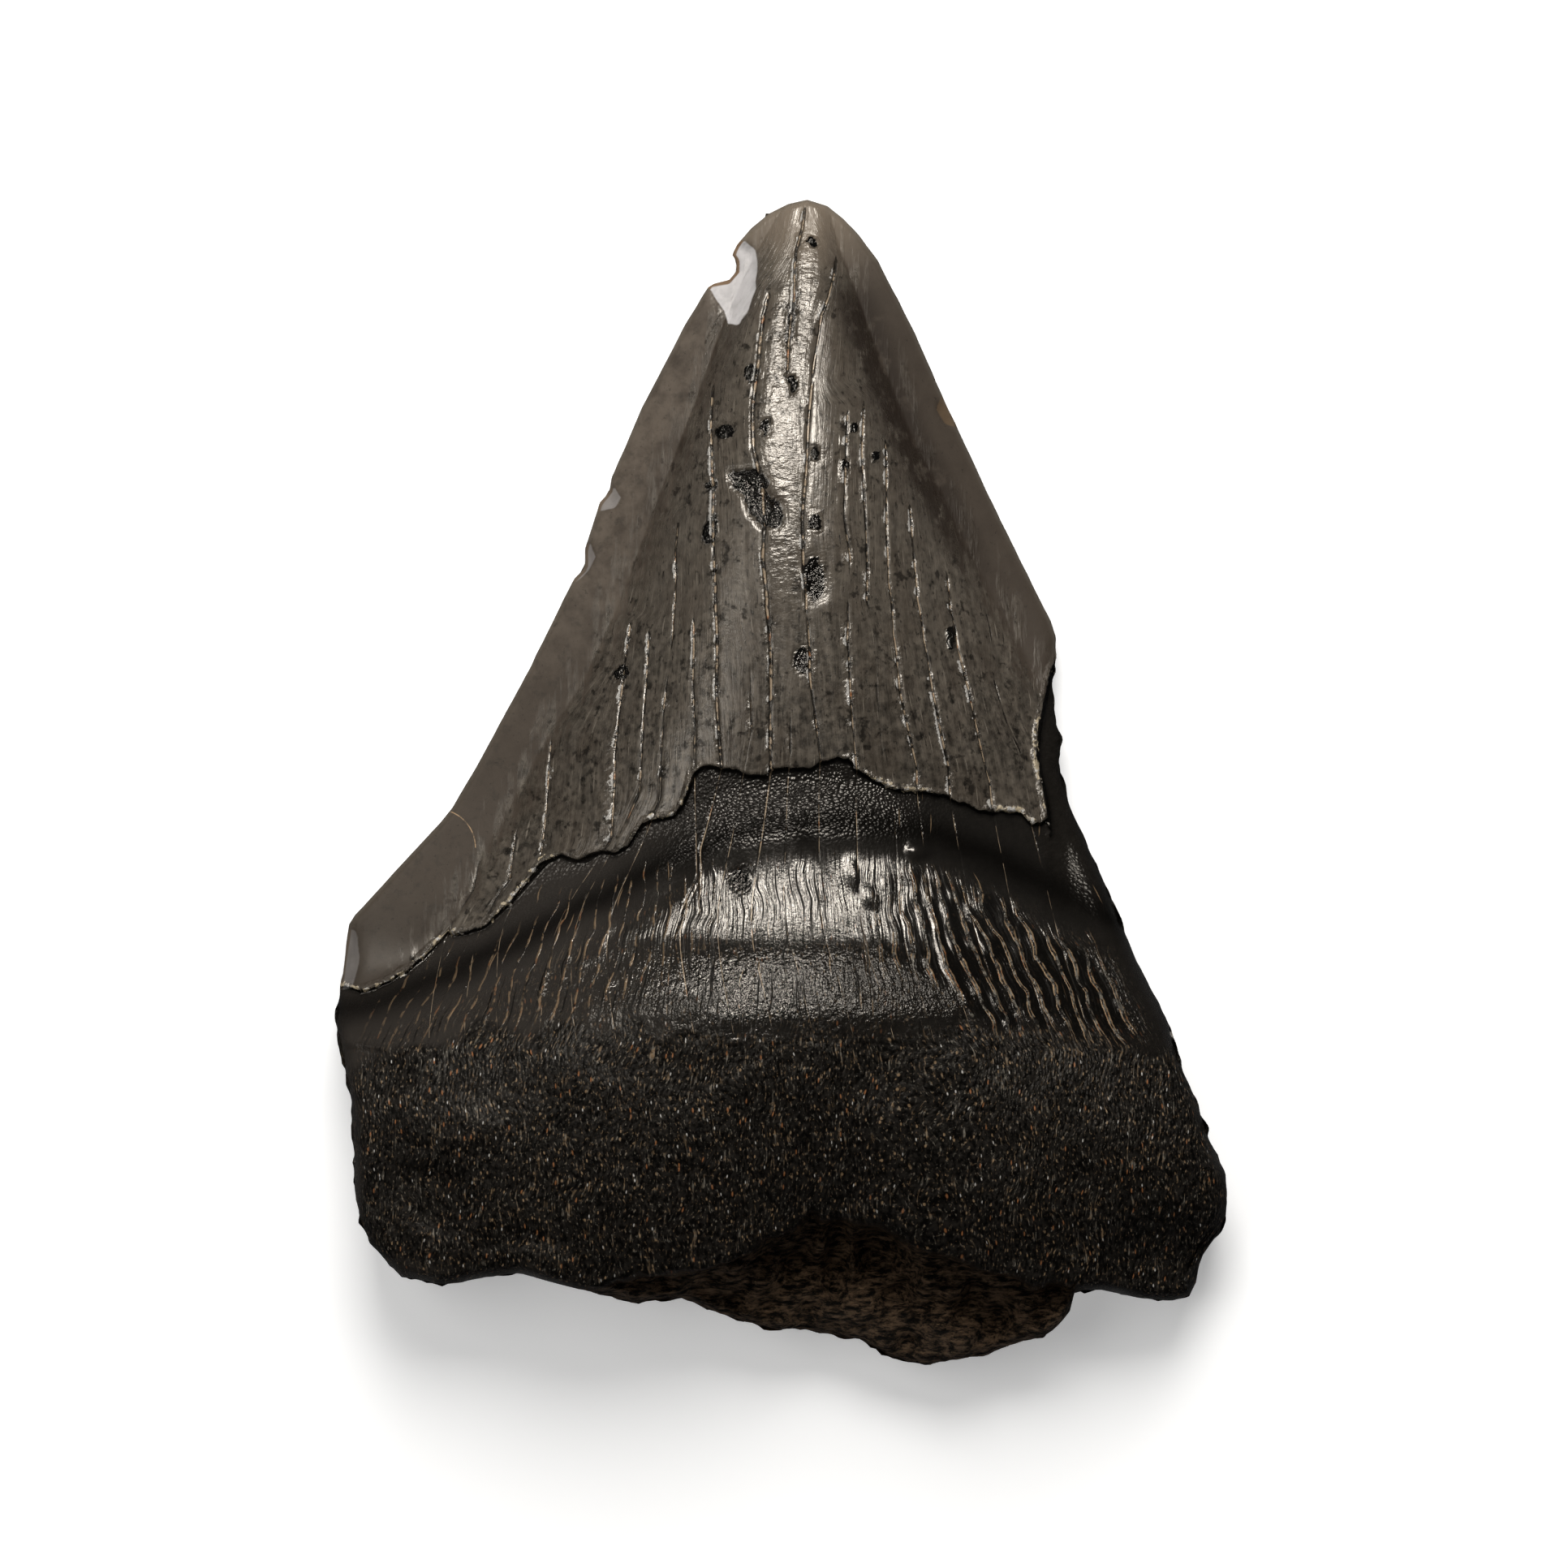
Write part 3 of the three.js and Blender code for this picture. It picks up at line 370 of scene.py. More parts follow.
class Columns:
    """The lattice's columns. They run along both rims and along every crack, with plain columns between."""

    TIP_SHARES = [*np.linspace(0.14, 0.5, 11), 0.66, *np.linspace(0.76, 0.9, 6)]
    BASE_SHARES = np.linspace(0.1, 0.9, len(CRACKS))
    BLEND_BELOW = 20
    EDGE_SHARE = 0.04

    def __init__(self):
        self.share_lines = self.shares_along()
        self.halves = [0, 0, *(crack["half"] for crack in CRACKS), 0, 0]
        self.post, self.offset, self.share = [], [], []
        last = len(self.halves) - 1
        quarter_round = 1 - np.cos(np.linspace(0, math.pi / 2, RIM_COLUMNS, endpoint=False))
        for value in quarter_round:
            self.add_filler(0, value)
        reference = self.post_x(np.array([float(ROOT_LEVEL)]))[:, 0]
        for k in range(1, last - 1):
            if k > 1:
                for offset in BUNDLE_OFFSETS:
                    self.add(k, offset, 0)
            gap = reference[k + 1] - reference[k] - self.halves[k] - self.halves[k + 1]
            fillers = max(1, round(gap / FILLER_SPACING / 2) * 2 - 1)
            first = 1 if k > 1 else 0
            for i in range(first, fillers + first):
                self.add_filler(k, i / (fillers + first))
        for value in quarter_round[::-1]:
            self.add_filler(last - 1, 1 - value)
        self.count = len(self.post)

    def add(self, post, offset, share):
        self.post.append(post)
        self.offset.append(offset)
        self.share.append(share)

    def add_filler(self, post, share):
        self.add(post, 1, share)

    def own_shares(self, k):
        """Share of the way across the tooth that crack k's own points lie at, from the base up."""
        points = []
        for x, y in reversed(CRACKS[k]["line"]):
            left = soft_line_at(LEFT_BY_Y, y, SIDE_SMOOTHING)
            right = soft_line_at(RIGHT_BY_Y, y, SIDE_SMOOTHING)
            points.append((y, (x - left) / (right - left)))
        return points

    def shares_along(self):
        """For each crack, its share of the way across at each y. Above its top end it keeps an even place
        between the cracks that go on."""
        own = [self.own_shares(k) for k in range(len(CRACKS))]
        lines = [[(own[k][0][0] - self.BLEND_BELOW, self.BASE_SHARES[k]), *own[k]] for k in range(len(CRACKS))]
        tops = [crack["line"][0][1] for crack in CRACKS]
        for level in sorted(set(tops)):
            going_on = [k for k, top in enumerate(tops) if top >= level]
            places = [-1, *going_on, len(CRACKS)]
            shares = [self.EDGE_SHARE, *(line_at(own[k], level) for k in going_on), 1 - self.EDGE_SHARE]
            for k, top in enumerate(tops):
                if top < level:
                    lines[k].append((level, np.interp(k, places, shares)))
        return [[*line, (HALF_LENGTH, share)] for line, share in zip(lines, self.TIP_SHARES)]

    def post_x(self, y):
        """x of each post at each y: left rim, its band's inner edge, the cracks, right band's edge, right rim."""
        left = side_line("left", y)
        right = side_line("right", y)
        soft_left = soft_line_at(LEFT_BY_Y, y, SIDE_SMOOTHING)
        soft_right = soft_line_at(RIGHT_BY_Y, y, SIDE_SMOOTHING)
        cracks = [mix(soft_left, soft_right, line_at(line, y)) for line in self.share_lines]
        least = 0.006 * (right - left)
        for k in range(1, len(cracks)):
            cracks[k] = np.maximum(cracks[k], cracks[k - 1] + least)
        left_band = np.minimum(line_at(RIM_RADIUS["left"], y), 0.7 * (cracks[0] - left))
        right_band = np.minimum(line_at(RIM_RADIUS["right"], y), 0.7 * (right - cracks[-1]))
        return np.array([left, left + left_band, *cracks, right - right_band, right])

    def x_at(self, y):
        """x of every column, for y as rows by columns."""
        posts = self.post_x(y)
        gaps = np.diff(posts, axis=0)
        room = 0.42 * np.minimum(gaps[:-1], gaps[1:])
        halves = np.zeros_like(posts)
        halves[1:-1] = np.minimum(np.array(self.halves)[1:-1, None, None], room)
        columns = np.arange(self.count)
        post = np.array(self.post)
        start = posts[post, :, columns].T
        end = posts[post + 1, :, columns].T
        start_half = halves[post, :, columns].T
        end_half = halves[post + 1, :, columns].T
        first = start + start_half * np.array(self.offset)
        return mix(first, end - end_half, np.array(self.share))


def row_stations():
    """Rows as (guide, share of the way to the next guide). The end ones follow a quarter round."""
    stations = []
    last = len(ROWS_BETWEEN_GUIDES) - 1
    for guide, count in enumerate(ROWS_BETWEEN_GUIDES):
        for i in range(count):
            share = i / count
            if guide == 0:
                share = 1 - math.cos(share * math.pi / 2)
            if guide == last:
                share = math.sin(share * math.pi / 2)
            stations.append((guide, share))
    return [*stations, (last, 1.0)]


def guide_heights(x):
    """y of the guide lines that the rows follow, base to tip."""
    base = base_line(x)
    inner = base + line_at(RIM_RADIUS["base"], x)
    step = np.maximum(line_at(ROOT_STEP, x), inner + 0.9)
    enamel = line_at(ENAMEL_EDGE, x) + enamel_wander(x)
    tip = line_at(TIP, x)
    return np.array([
        base, inner, step - 0.5, step, soft_line_at(CREST, x, GUIDE_SMOOTHING),
        soft_line_at(NECK, x, GUIDE_SMOOTHING), enamel - 0.25, enamel,
        soft_line_at(SHOULDER, x, GUIDE_SMOOTHING), tip - 1.6, tip,
    ])


def lattice(columns):
    """x and y of every crossing, as rows by columns."""
    stations = row_stations()
    guide = np.array([g for g, _ in stations])
    share = np.array([s for _, s in stations])[:, None]
    rows = np.arange(len(stations))
    y = mix(-HALF_LENGTH, HALF_LENGTH, (guide[:, None] + share) / len(ROWS_BETWEEN_GUIDES))
    y = np.repeat(y, columns.count, axis=1)
    for turn in range(SETTLING_ROUNDS):
        heights = guide_heights(columns.x_at(y))
        y = mix(y, mix(heights[guide, rows], heights[guide + 1, rows], share), 1 if turn == 0 else 0.6)
    return columns.x_at(y), y


class Surface:
    """The tooth's form at each point of the lattice, in millimetres, and the masks that its finish follows."""

    RIDGE_SOFTNESS = 0.6

    def __init__(self, sizes, columns, x, y):
        self.sizes = sizes
        self.columns = columns
        self.x = x
        self.y = y
        self.to_rim = distance_to_line(OUTLINE, x, y)
        self.ridge = soft_line_at(RIDGE_X, y, SIDE_SMOOTHING)
        self.soft_left = soft_line_at(LEFT_BY_Y, y, SIDE_SMOOTHING)
        self.soft_right = soft_line_at(RIGHT_BY_Y, y, SIDE_SMOOTHING)
        self.neck = soft_line_at(NECK, x, GUIDE_SMOOTHING)
        self.crest = soft_line_at(CREST, x, GUIDE_SMOOTHING)
        self.step = line_at(ROOT_STEP, x)
        rim = np.where(x < self.ridge, self.soft_left, self.soft_right)
        self.across = np.clip((x - self.ridge) / (rim - self.ridge), 0, 1)
        self.near_base = 1 - smooth_step(-46, -39, y)
        self.rim_middle = self.rim_value(RIM_MIDDLE)
        self.rim_half = self.rim_value(RIM_HALF)
        self.rim_radius = self.rim_value(RIM_RADIUS)

    def rim_value(self, lists):
        left = soft_line_at(lists["left"], self.y, PROFILE_SMOOTHING)
        right = soft_line_at(lists["right"], self.y, PROFILE_SMOOTHING)
        side = np.where(self.x < self.ridge, left, right)
        return mix(side, line_at(lists["base"], self.x), self.near_base)

    def rim_round(self):
        """A quarter round: 0 on the rim, 1 from its radius inwards."""
        left = 1 - np.clip(self.to_rim / self.rim_radius, 0, 1)
        return np.sqrt(1 - left * left)

    def lengthwise(self):
        """Height of the middle line: crown, rise to the root's crest, fall to the broken step."""
        drop = soft_line_at(RIDGE_DROP, np.maximum(self.y, self.neck), PROFILE_SMOOTHING)
        crown = self.sizes.crown_thickness / MM - drop
        below_neck = (self.neck - self.y) / (self.neck - self.crest)
        rise = soft_line_at(BULGE_RISE, below_neck, 0.05)
        fall = np.clip((self.crest - self.y) / (self.crest - self.step), 0, 1.2)
        return mix(crown, self.sizes.root_thickness / MM, rise) - 5.2 * fall ** 1.7

    def section_shape(self):
        """How much of the middle height is left towards the rim: a dome between two flat blades on the crown."""
        u = self.across
        border = np.where(self.x < self.ridge, line_at(MARGIN_LEFT, self.y), line_at(MARGIN_RIGHT, self.y))
        rim = np.where(self.x < self.ridge, self.soft_left, self.soft_right)
        dome_edge = np.clip((border - self.ridge) / (rim - self.ridge), 0.55, 0.97)
        t = np.clip(u / dome_edge, 0, 1)
        bell = (1 - t ** mix(2.3, 3.8, smooth_step(12, 42, self.y))) ** 1.3
        blade = mix(0.25, 0.34, smooth_step(0, 30, self.y))
        soft = self.RIDGE_SOFTNESS
        slant = (np.hypot(u, soft) - soft) / (math.hypot(1, soft) - soft)
        crown = blade * (1 - slant) + (1 - blade) * bell
        bulge = 1 - u ** mix(2.7, 2.05, smooth_step(-36, -22, self.y))
        return mix(bulge, crown, smooth_step(self.neck - 5, self.neck + 4, self.y))

    def enamel_distance(self, edge, with_break):
        """Signed distance to the enamel's edge: above 0 inside the enamel."""
        x, y = self.x, self.y
        distance = distance_to_line(edge, x, y) * np.where(y >= line_at(edge, x), 1, -1) - enamel_wander(x)
        if with_break:
            break_x = line_at(by_y(ENAMEL_BREAK), y)
            beyond = (x > break_x) & (y < ENAMEL_BREAK[-1][1])
            to_break = distance_to_line(ENAMEL_BREAK, x, y)
            distance = np.where(beyond, -to_break, np.where(distance > 0, np.minimum(distance, to_break), distance))
        return distance

    def cracks(self, enamel):
        """Depth of the cracks, their openness across the worn strip, and the chipped lip beside each.
        Below the enamel a crack is only a thin thread."""
        in_root = smooth_step(0.3, -0.3, enamel)
        depth = np.zeros_like(self.x)
        seam = np.zeros_like(self.x)
        lip = np.zeros_like(self.x)
        posts = self.columns.post_x(self.y)[2:-2]
        for k, (crack, line_x) in enumerate(zip(CRACKS, posts)):
            open_depth = np.where((self.y < crack["line"][-1][1]) & (self.y > SEAM_END), SEAM_DEPTH, 0)
            for top, bottom, run_depth in crack["runs"]:
                ends = smooth_step(bottom - 0.6, bottom + 0.6, self.y) * (1 - smooth_step(top - 1.5, top, self.y))
                open_depth = np.maximum(open_depth, run_depth * ends)
            beads = smooth_noise(np.full_like(self.y, 3.0 * k), self.y, 1.1, k + 1, 2)
            open_depth = open_depth * np.clip(0.8 + 0.4 * beads, 0.25, 1.3)
            aside = np.abs(self.x - line_x) / crack["half"]
            profile = np.clip(1 - aside / mix(1, 0.4, in_root), 0, 1)
            depth = np.maximum(depth, open_depth * profile)
            seam = np.maximum(seam, np.minimum(open_depth / 0.2, 1) * profile)
            chipped = np.clip(0.4 + beads, 0, 1) * np.minimum(open_depth / 0.2, 1)
            lip_width = 0.1 + 0.35 * open_depth
            left_lip = np.exp(-(((self.x - line_x + crack["half"]) / lip_width) ** 2))
            right_lip = 0.5 * np.exp(-(((self.x - line_x - crack["half"]) / lip_width) ** 2))
            lip = np.maximum(lip, chipped * (left_lip + right_lip))
        return depth, seam, lip

    def pits(self):
        """Depth of the sharp-edged pits, and a mask that is 1 inside them."""
        warp = np.clip(1 + 0.5 * smooth_noise(self.x, self.y, 1.5, 5, 2), 0.35, 1.8)
        depth = np.zeros_like(self.x)
        mask = np.zeros_like(self.x)
        for shape in SHARP_PITS:
            cx, cy, half_width, half_length, turn, deep = shape
            wide = (cx, cy, half_width * 1.1, half_length * 1.1, turn, 1)
            far = np.hypot(self.x - cx, self.y - cy) > 3 * max(half_width, half_length)
            own = np.where(far, 0, hollow(self.x + 0.35 * warp - 0.35, self.y, wide, 0.2 * warp, 1.5 * warp))
            depth = np.maximum(depth, own * deep * min(1, deep / 0.6))
            mask = np.maximum(mask, own)
        return PIT_SCALE * depth, mask

    def chips(self):
        """Drop of the chipped faces, a mask that is 0.5 on their outlines, and how pale each break is."""
        drop = np.zeros_like(self.x)
        share = np.zeros_like(self.x)
        tone = np.zeros_like(self.x)
        for chip in CHIPS:
            closed = chip["outline"] + chip["outline"][:1]
            edge = distance_to_line(closed, self.x, self.y)
            signed = np.where(inside_outline(chip["outline"], self.x, self.y), edge, -edge)
            scallop = 0.12 * smooth_noise(self.x, self.y, 0.7, 8, 2)
            drop = np.maximum(drop, chip["drop"] * smooth_step(-0.15, 0.5, signed + scallop))
            share = np.maximum(share, np.clip(0.5 + signed + 0.5 * scallop, 0, 1))
            tone = np.maximum(tone, chip["tone"] * smooth_step(-1.6, -1.2, signed))
        return drop, share, tone

    def broken_lumps(self):
        """Uneven surface of the broken base: the solid's waves, and finer lumps on them."""
        x, y = self.x, self.y
        waves = sum(height * np.sin(x * turn_x + y * turn_y) for height, turn_x, turn_y in BROKEN_WAVES)
        return waves + 0.45 * smooth_noise(x, y, 2.2, 11, 3)

    def ledge(self, top):
        """Height of the broken ledge below the step, and a mask that is 1 on it."""
        x, y = self.x, self.y
        jagged = self.step + 0.5 * smooth_noise(x, y, 1.6, 12, 2)
        share = np.clip((jagged - y) / (jagged - line_at(BASE, x)), 0, 1)
        outer = line_at(LEDGE_OUTER_HEIGHT, x)
        foot = np.maximum(top - self.sizes.ledge_drop / MM, outer)
        height = mix(foot, outer, share) + self.broken_lumps() * smooth_step(0, 0.3, share)
        on_ledge = smooth_step(-22, -16, x) * (1 - smooth_step(26.2, 28.8, x))
        mask = on_ledge * smooth_step(jagged, jagged - 0.7, y)
        return height, mask

    def strands(self):
        """Across position that follows the slanted growth ridges of the bulge, in place of x."""
        slope = line_at(STRAND_SLOPE, self.x)
        wander = 0.3 * smooth_noise(self.x, self.y, 2.5, 21, 2)
        return self.x + slope * (np.clip(self.y, -25, -6) + 16) + wander

    def down_the_rim(self, across, along, fall):
        """Across and along positions that go on down the steep rim, so that no pattern is drawn out there."""
        outwards = np.where(self.x < self.ridge, -fall, fall) * (1 - self.near_base)
        return across + outwards, along - fall * self.near_base

    def growth_ridges(self):
        """Height of the slanted ridges on the bulge, and a mask that is 1 where they run."""
        count = (self.strands() - STRAND_START) / STRAND_WIDTH
        index = np.floor(count)
        ridge = smooth_step(0.62, 1, np.abs(count - index - 0.5) * 2)
        whole = index.astype(np.int64)
        top = line_at(STRAND_TOP, self.x) + 1.6 * grid_value(whole, whole * 0 + 3, 5)
        bottom = line_at(STRAND_BOTTOM, self.x) + 1.2 * grid_value(whole, whole * 0 + 9, 6)
        here = smooth_step(top + 0.8, top - 0.8, self.y) * smooth_step(bottom - 1, bottom + 1, self.y)
        here = here * smooth_step(2, 4.5, self.to_rim) * line_at(STRAND_SHARE, self.x)
        return 0.32 * (ridge - 0.3) * here, here

    def inner_face(self):
        """The domed inner face: its heights and masks."""
        x, y = self.x, self.y
        rim_top = self.rim_middle + self.rim_half
        z = rim_top + (self.lengthwise() - rim_top) * self.section_shape()
        groove = np.exp(-(((y - self.neck - 4.3) / 1.9) ** 2)) * smooth_step(1, 9, self.to_rim)
        z = z - self.sizes.groove_depth / MM * groove
        second = line_at(SECOND_GROOVE, x)
        z = z - 0.22 * np.exp(-(((y - second) / 1.1) ** 2)) * smooth_step(-33, -37, x) * smooth_step(0.4, 2, self.to_rim)
        enamel = self.enamel_distance(ENAMEL_EDGE, True)
        z = z - self.sizes.enamel_step / MM * smooth_step(0, -0.22, enamel) * smooth_step(-9, -1, enamel)
        height, broken = self.ledge(z)
        z = mix(z, height, broken)
        for shape in SOFT_HOLLOWS:
            z = z - hollow(x, y, shape)
        for shape in LOW_RIDGES:
            z = z + hollow(x, y, shape)
        crack_depth, seam, lip = self.cracks(enamel)
        pit_depth, pits = self.pits()
        drop, chip, fresh = self.chips()
        ridge_height, strand_zone = self.growth_ridges()
        wander = 1.2 * smooth_noise(x, y, 2.4, 14, 2)
        rough = smooth_step(1, -1.4, y - line_at(ROUGH_EDGE, x) + wander) * smooth_step(-1, 1.4, self.to_rim - wander)
        z = z + ridge_height - crack_depth * self.sizes.crack_depth / MM - pit_depth - drop
        z = z + 0.3 * smooth_noise(x, y, 6, 15, 3) * smooth_step(-20, -27, y) * (1 - broken)
        crumb = line_at(CRUMBS, x) * np.exp(-(((enamel - 0.1) / 0.55) ** 2))
        z = z + 0.35 * crumb * np.clip(smooth_noise(x, y, 0.55, 17, 2), 0, 1)
        margin = np.maximum(line_at(MARGIN_LEFT, y) - x, x - line_at(MARGIN_RIGHT, y))
        masks = {
            "enamel": enamel, "seam": seam, "lip": lip, "pit": pits, "chip": chip, "fresh": fresh, "broken": broken,
            "rough": rough, "margin": margin, "ridge": strand_zone, "bulge": self.bulge_mask(),
            "leather": self.leather_mask(enamel), "facet": self.facet_mask(), "hammer": self.hammer_mask(),
            # edge: 1 on the outline; the crown takes a painted highlight from it
            "crumb": crumb, "edge": np.exp(-((self.to_rim / 0.4) ** 2)),
            # neck: band along the neck groove, painted dark as shade there
            "neck": np.exp(-(((y - self.neck - 0.9 + 0.25 * wander) / 1.8) ** 2)),
        }
        return z, masks

    def bulge_mask(self):
        """1 on the finely ridged skin of the bulge, between the neck and the rough root."""
        top = smooth_step(self.neck - 1, self.neck - 4, self.y)
        return top * smooth_step(-1, 1.5, self.y - line_at(ROUGH_EDGE, self.x)) * smooth_step(0.5, 3, self.to_rim)

    def hammer_mask(self):
        """1 on the beaten band that follows the crown's ridge between two of the cracks."""
        posts = self.columns.post_x(self.y)[2:-2]
        left, right = posts[HAMMER_BETWEEN[0]], posts[HAMMER_BETWEEN[1]]
        share = (self.x - left) / (right - left)
        along = smooth_step(12, 22, self.y) * smooth_step(53, 46, self.y)
        return smooth_step(0, 0.25, share) * smooth_step(1, 0.8, share) * along

    def facet_mask(self):
        """1 on the worn bevel along the right side of the root."""
        inner_line = line_at(by_y(RIGHT_BEVEL), self.y)
        return smooth_step(-0.4, 0.6, self.x - inner_line) * smooth_step(4, -4, self.y) * smooth_step(-42, -36, self.y)

    def leather_mask(self, enamel):
        """1 on the wrinkled skin just below the enamel's edge in the middle of the tooth."""
        below = smooth_step(0.1, -0.4, enamel) * smooth_step(self.neck - 1.5, self.neck + 1.5, self.y)
        return below * (0.35 + 0.65 * smooth_step(17, 4, np.abs(self.x - 0.5)))

    def outer_face(self):
        """The flat outer face. It lifts off the surface only towards the blades, the tip and the base."""
        towards_rim = smooth_step(0.58, 1, self.across)
        towards_tip = smooth_step(36, HALF_LENGTH, self.y)
        towards_base = 1 - smooth_step(-50, -41, self.y)
        z = (self.rim_middle - self.rim_half) * np.maximum(np.maximum(towards_rim, towards_tip), towards_base)
        enamel = self.enamel_distance(OUTER_ENAMEL_EDGE, False)
        z = z + 0.3 * smooth_step(0, -0.6, enamel) * smooth_step(-9, -1, enamel)
        crack_depth, seam, _ = self.cracks(enamel)
        z = z + crack_depth * smooth_step(-11, -8, self.y)
        zero = np.zeros_like(z)
        margin = np.maximum(line_at(MARGIN_LEFT, self.y) - self.x, self.x - line_at(MARGIN_RIGHT, self.y)) - 1.5
        masks = {
            "enamel": enamel, "seam": seam * smooth_step(-11, -8, self.y), "lip": zero, "pit": zero, "chip": zero, "fresh": zero,
            "broken": smooth_step(-42, -46, self.y), "rough": smooth_step(-15, -20, self.y), "margin": margin,
            "ridge": zero, "bulge": 0.4 * smooth_step(-9, -14, self.y) * smooth_step(-30, -22, self.y),
            "leather": zero, "facet": zero, "hammer": zero, "crumb": 0.3 * np.exp(-((enamel / 0.3) ** 2)), "edge": np.exp(-((self.to_rim / 0.4) ** 2)),
            "neck": zero,
        }
        return z, masks

    def fan(self):
        """Across and along positions that follow the growth lines: x where each column passes FAN_LEVEL, and y."""
        level = np.full((1, self.columns.count), float(FAN_LEVEL))
        return np.broadcast_to(self.columns.x_at(level), self.x.shape), self.y


MASKS = (
    "enamel", "seam", "lip", "pit", "chip", "fresh", "broken", "rough", "margin", "ridge", "bulge", "leather", "facet",
    "hammer", "crumb", "edge", "neck",
)


def outer_face_loops(last_row, last_column):
    """The outer face's polygons. It takes every second row and column, and picks up each point of the rim."""
    for i in range(0, last_row, 2):
        for j in range(0, last_column, 2):
            loop = [(i, j), (i + 1, j), (i + 2, j), (i + 2, j + 1), (i + 2, j + 2), (i + 1, j + 2), (i, j + 2), (i, j + 1)]
            used = [
                (r, c) for r, c in loop
                if (r % 2 == 0 and c % 2 == 0) or r in (0, last_row) or c in (0, last_column)
            ]
            if len(used) == 4:
                yield used
                continue
            start = used.index((2 if i == 0 else i, 2 if j == 0 else j))
            for k in range(1, len(used) - 1):
                yield [used[start], used[(start + k) % len(used)], used[(start + k + 1) % len(used)]]


def tooth_mesh(sizes):
    """The tooth as one closed mesh, with the masks and growth-line positions as attributes."""
    columns = Columns()
    x, y = lattice(columns)
    surface = Surface(sizes, columns, x, y)
    shape = x.shape
    last_row, last_column = shape[0] - 1, shape[1] - 1
    on_rim = np.zeros(shape, bool)
    on_rim[[0, -1]] = True
    on_rim[:, [0, -1]] = True
    quarter = np.where(on_rim, 0, surface.rim_round())
    inner, inner_masks = surface.inner_face()
    outer, outer_masks = surface.outer_face()
    inner_fall = (1 - quarter) * (inner - surface.rim_middle)
    outer_fall = (1 - quarter) * (surface.rim_middle - outer)
    inner = mix(surface.rim_middle, inner, quarter)
    outer = mix(surface.rim_middle, outer, quarter)
    fan_across, fan_along = surface.fan()
    strands = surface.strands()

    row, column = np.indices(shape)
    below = ~on_rim & (row % 2 == 0) & (column % 2 == 0)
    top_index = np.arange(x.size).reshape(shape)
    bottom_index = top_index.copy()
    bottom_index[below] = x.size + np.arange(below.sum())
    top_points = np.stack([x, y, inner], -1).reshape(-1, 3)
    bottom_points = np.stack([x[below], y[below], outer[below]], -1)
    points = np.concatenate([top_points, bottom_points]) * MM

    quads = np.stack([top_index[:-1, :-1], top_index[:-1, 1:], top_index[1:, 1:], top_index[1:, :-1]], -1).reshape(-1, 4)
    under = [[int(bottom_index[p]) for p in loop] for loop in outer_face_loops(last_row, last_column)]
    mesh = bpy.data.meshes.new("tooth")
    mesh.from_pydata(points.tolist(), [], quads.tolist() + under)
    mesh.shade_smooth()
    for name in MASKS:
        values = np.concatenate([inner_masks[name].ravel(), outer_masks[name][below]])
        attribute = mesh.attributes.new(name, "FLOAT", "POINT")
        attribute.data.foreach_set("value", values.astype(np.float32))
    for name, across, along in (("fan", fan_across, fan_along), ("strand", strands, y)):
        inner_flow = surface.down_the_rim(across, along, inner_fall)
        outer_flow = surface.down_the_rim(across, along, outer_fall)
        flow = np.concatenate([
            np.stack([*inner_flow, np.zeros(shape)], -1).reshape(-1, 3),
            np.stack([outer_flow[0][below], outer_flow[1][below], np.full(below.sum(), float(HALF_LENGTH))], -1),
        ])
        attribute = mesh.attributes.new(name, "FLOAT_VECTOR", "POINT")
        attribute.data.foreach_set("vector", (flow * MM).astype(np.float32).ravel())
    return mesh


class Graph:
    """Adds nodes to one tree and joins them, so that a tree reads as a list of steps."""

    def __init__(self, tree):
        self.tree = tree

    def feed(self, socket, value):
        if isinstance(value, bpy.types.NodeSocket):
            self.tree.links.new(value, socket)
        else:
            socket.default_value = value

    def add(self, kind, inputs=(), **settings):
        node = self.tree.nodes.new(kind)
        for name, value in settings.items():
            setattr(node, name, value)
        for name, value in dict(inputs).items():
            self.feed(node.inputs[name], value)
        return node

    def maths(self, operation, first, second=0.0):
        return self.add("ShaderNodeMath", {0: first, 1: second}, operation=operation).outputs[0]

    def ramp(self, value, low, high, to_low=0.0, to_high=1.0):
        """value taken smoothly from low..high to to_low..to_high."""
        inputs = {"Value": value, "From Min": low, "From Max": high, "To Min": to_low, "To Max": to_high}
        return self.add("ShaderNodeMapRange", inputs, interpolation_type="SMOOTHSTEP").outputs[0]

    def scaled(self, vector, scale):
        inputs = {0: vector, 1: scale}
        return self.add("ShaderNodeVectorMath", inputs, operation="MULTIPLY").outputs[0]

    def noise(self, vector, scale, detail=2.0, roughness=0.55, seed=0.0):
        inputs = {"Vector": vector, "W": seed, "Scale": scale, "Detail": detail, "Roughness": roughness}
        return self.add("ShaderNodeTexNoise", inputs, noise_dimensions="4D").outputs[0]

    def cells(self, vector, scale, feature="F1"):
        return self.add("ShaderNodeTexVoronoi", {"Vector": vector, "Scale": scale}, feature=feature).outputs["Distance"]

    def blend(self, share, first, second):
        node = self.add("ShaderNodeMix", data_type="RGBA", clamp_factor=True)
        self.feed(node.inputs[0], share)
        self.feed(node.inputs[6], first)
        self.feed(node.inputs[7], second)
        return node.outputs[2]

    def between(self, share, first, second):
        return self.add("ShaderNodeMix", {0: share, 2: first, 3: second}, data_type="FLOAT").outputs[0]

    def shader_attribute(self, name, output="Fac"):
        return self.add("ShaderNodeAttribute", attribute_name=name).outputs[output]

    def point_attribute(self, name, data_type="FLOAT"):
        node = self.add("GeometryNodeInputNamedAttribute", data_type=data_type)
        node.inputs["Name"].default_value = name
        return node.outputs["Attribute"]

    def total(self, *values):
        result = values[0]
        for value in values[1:]:
            result = self.maths("ADD", result, value)
        return result


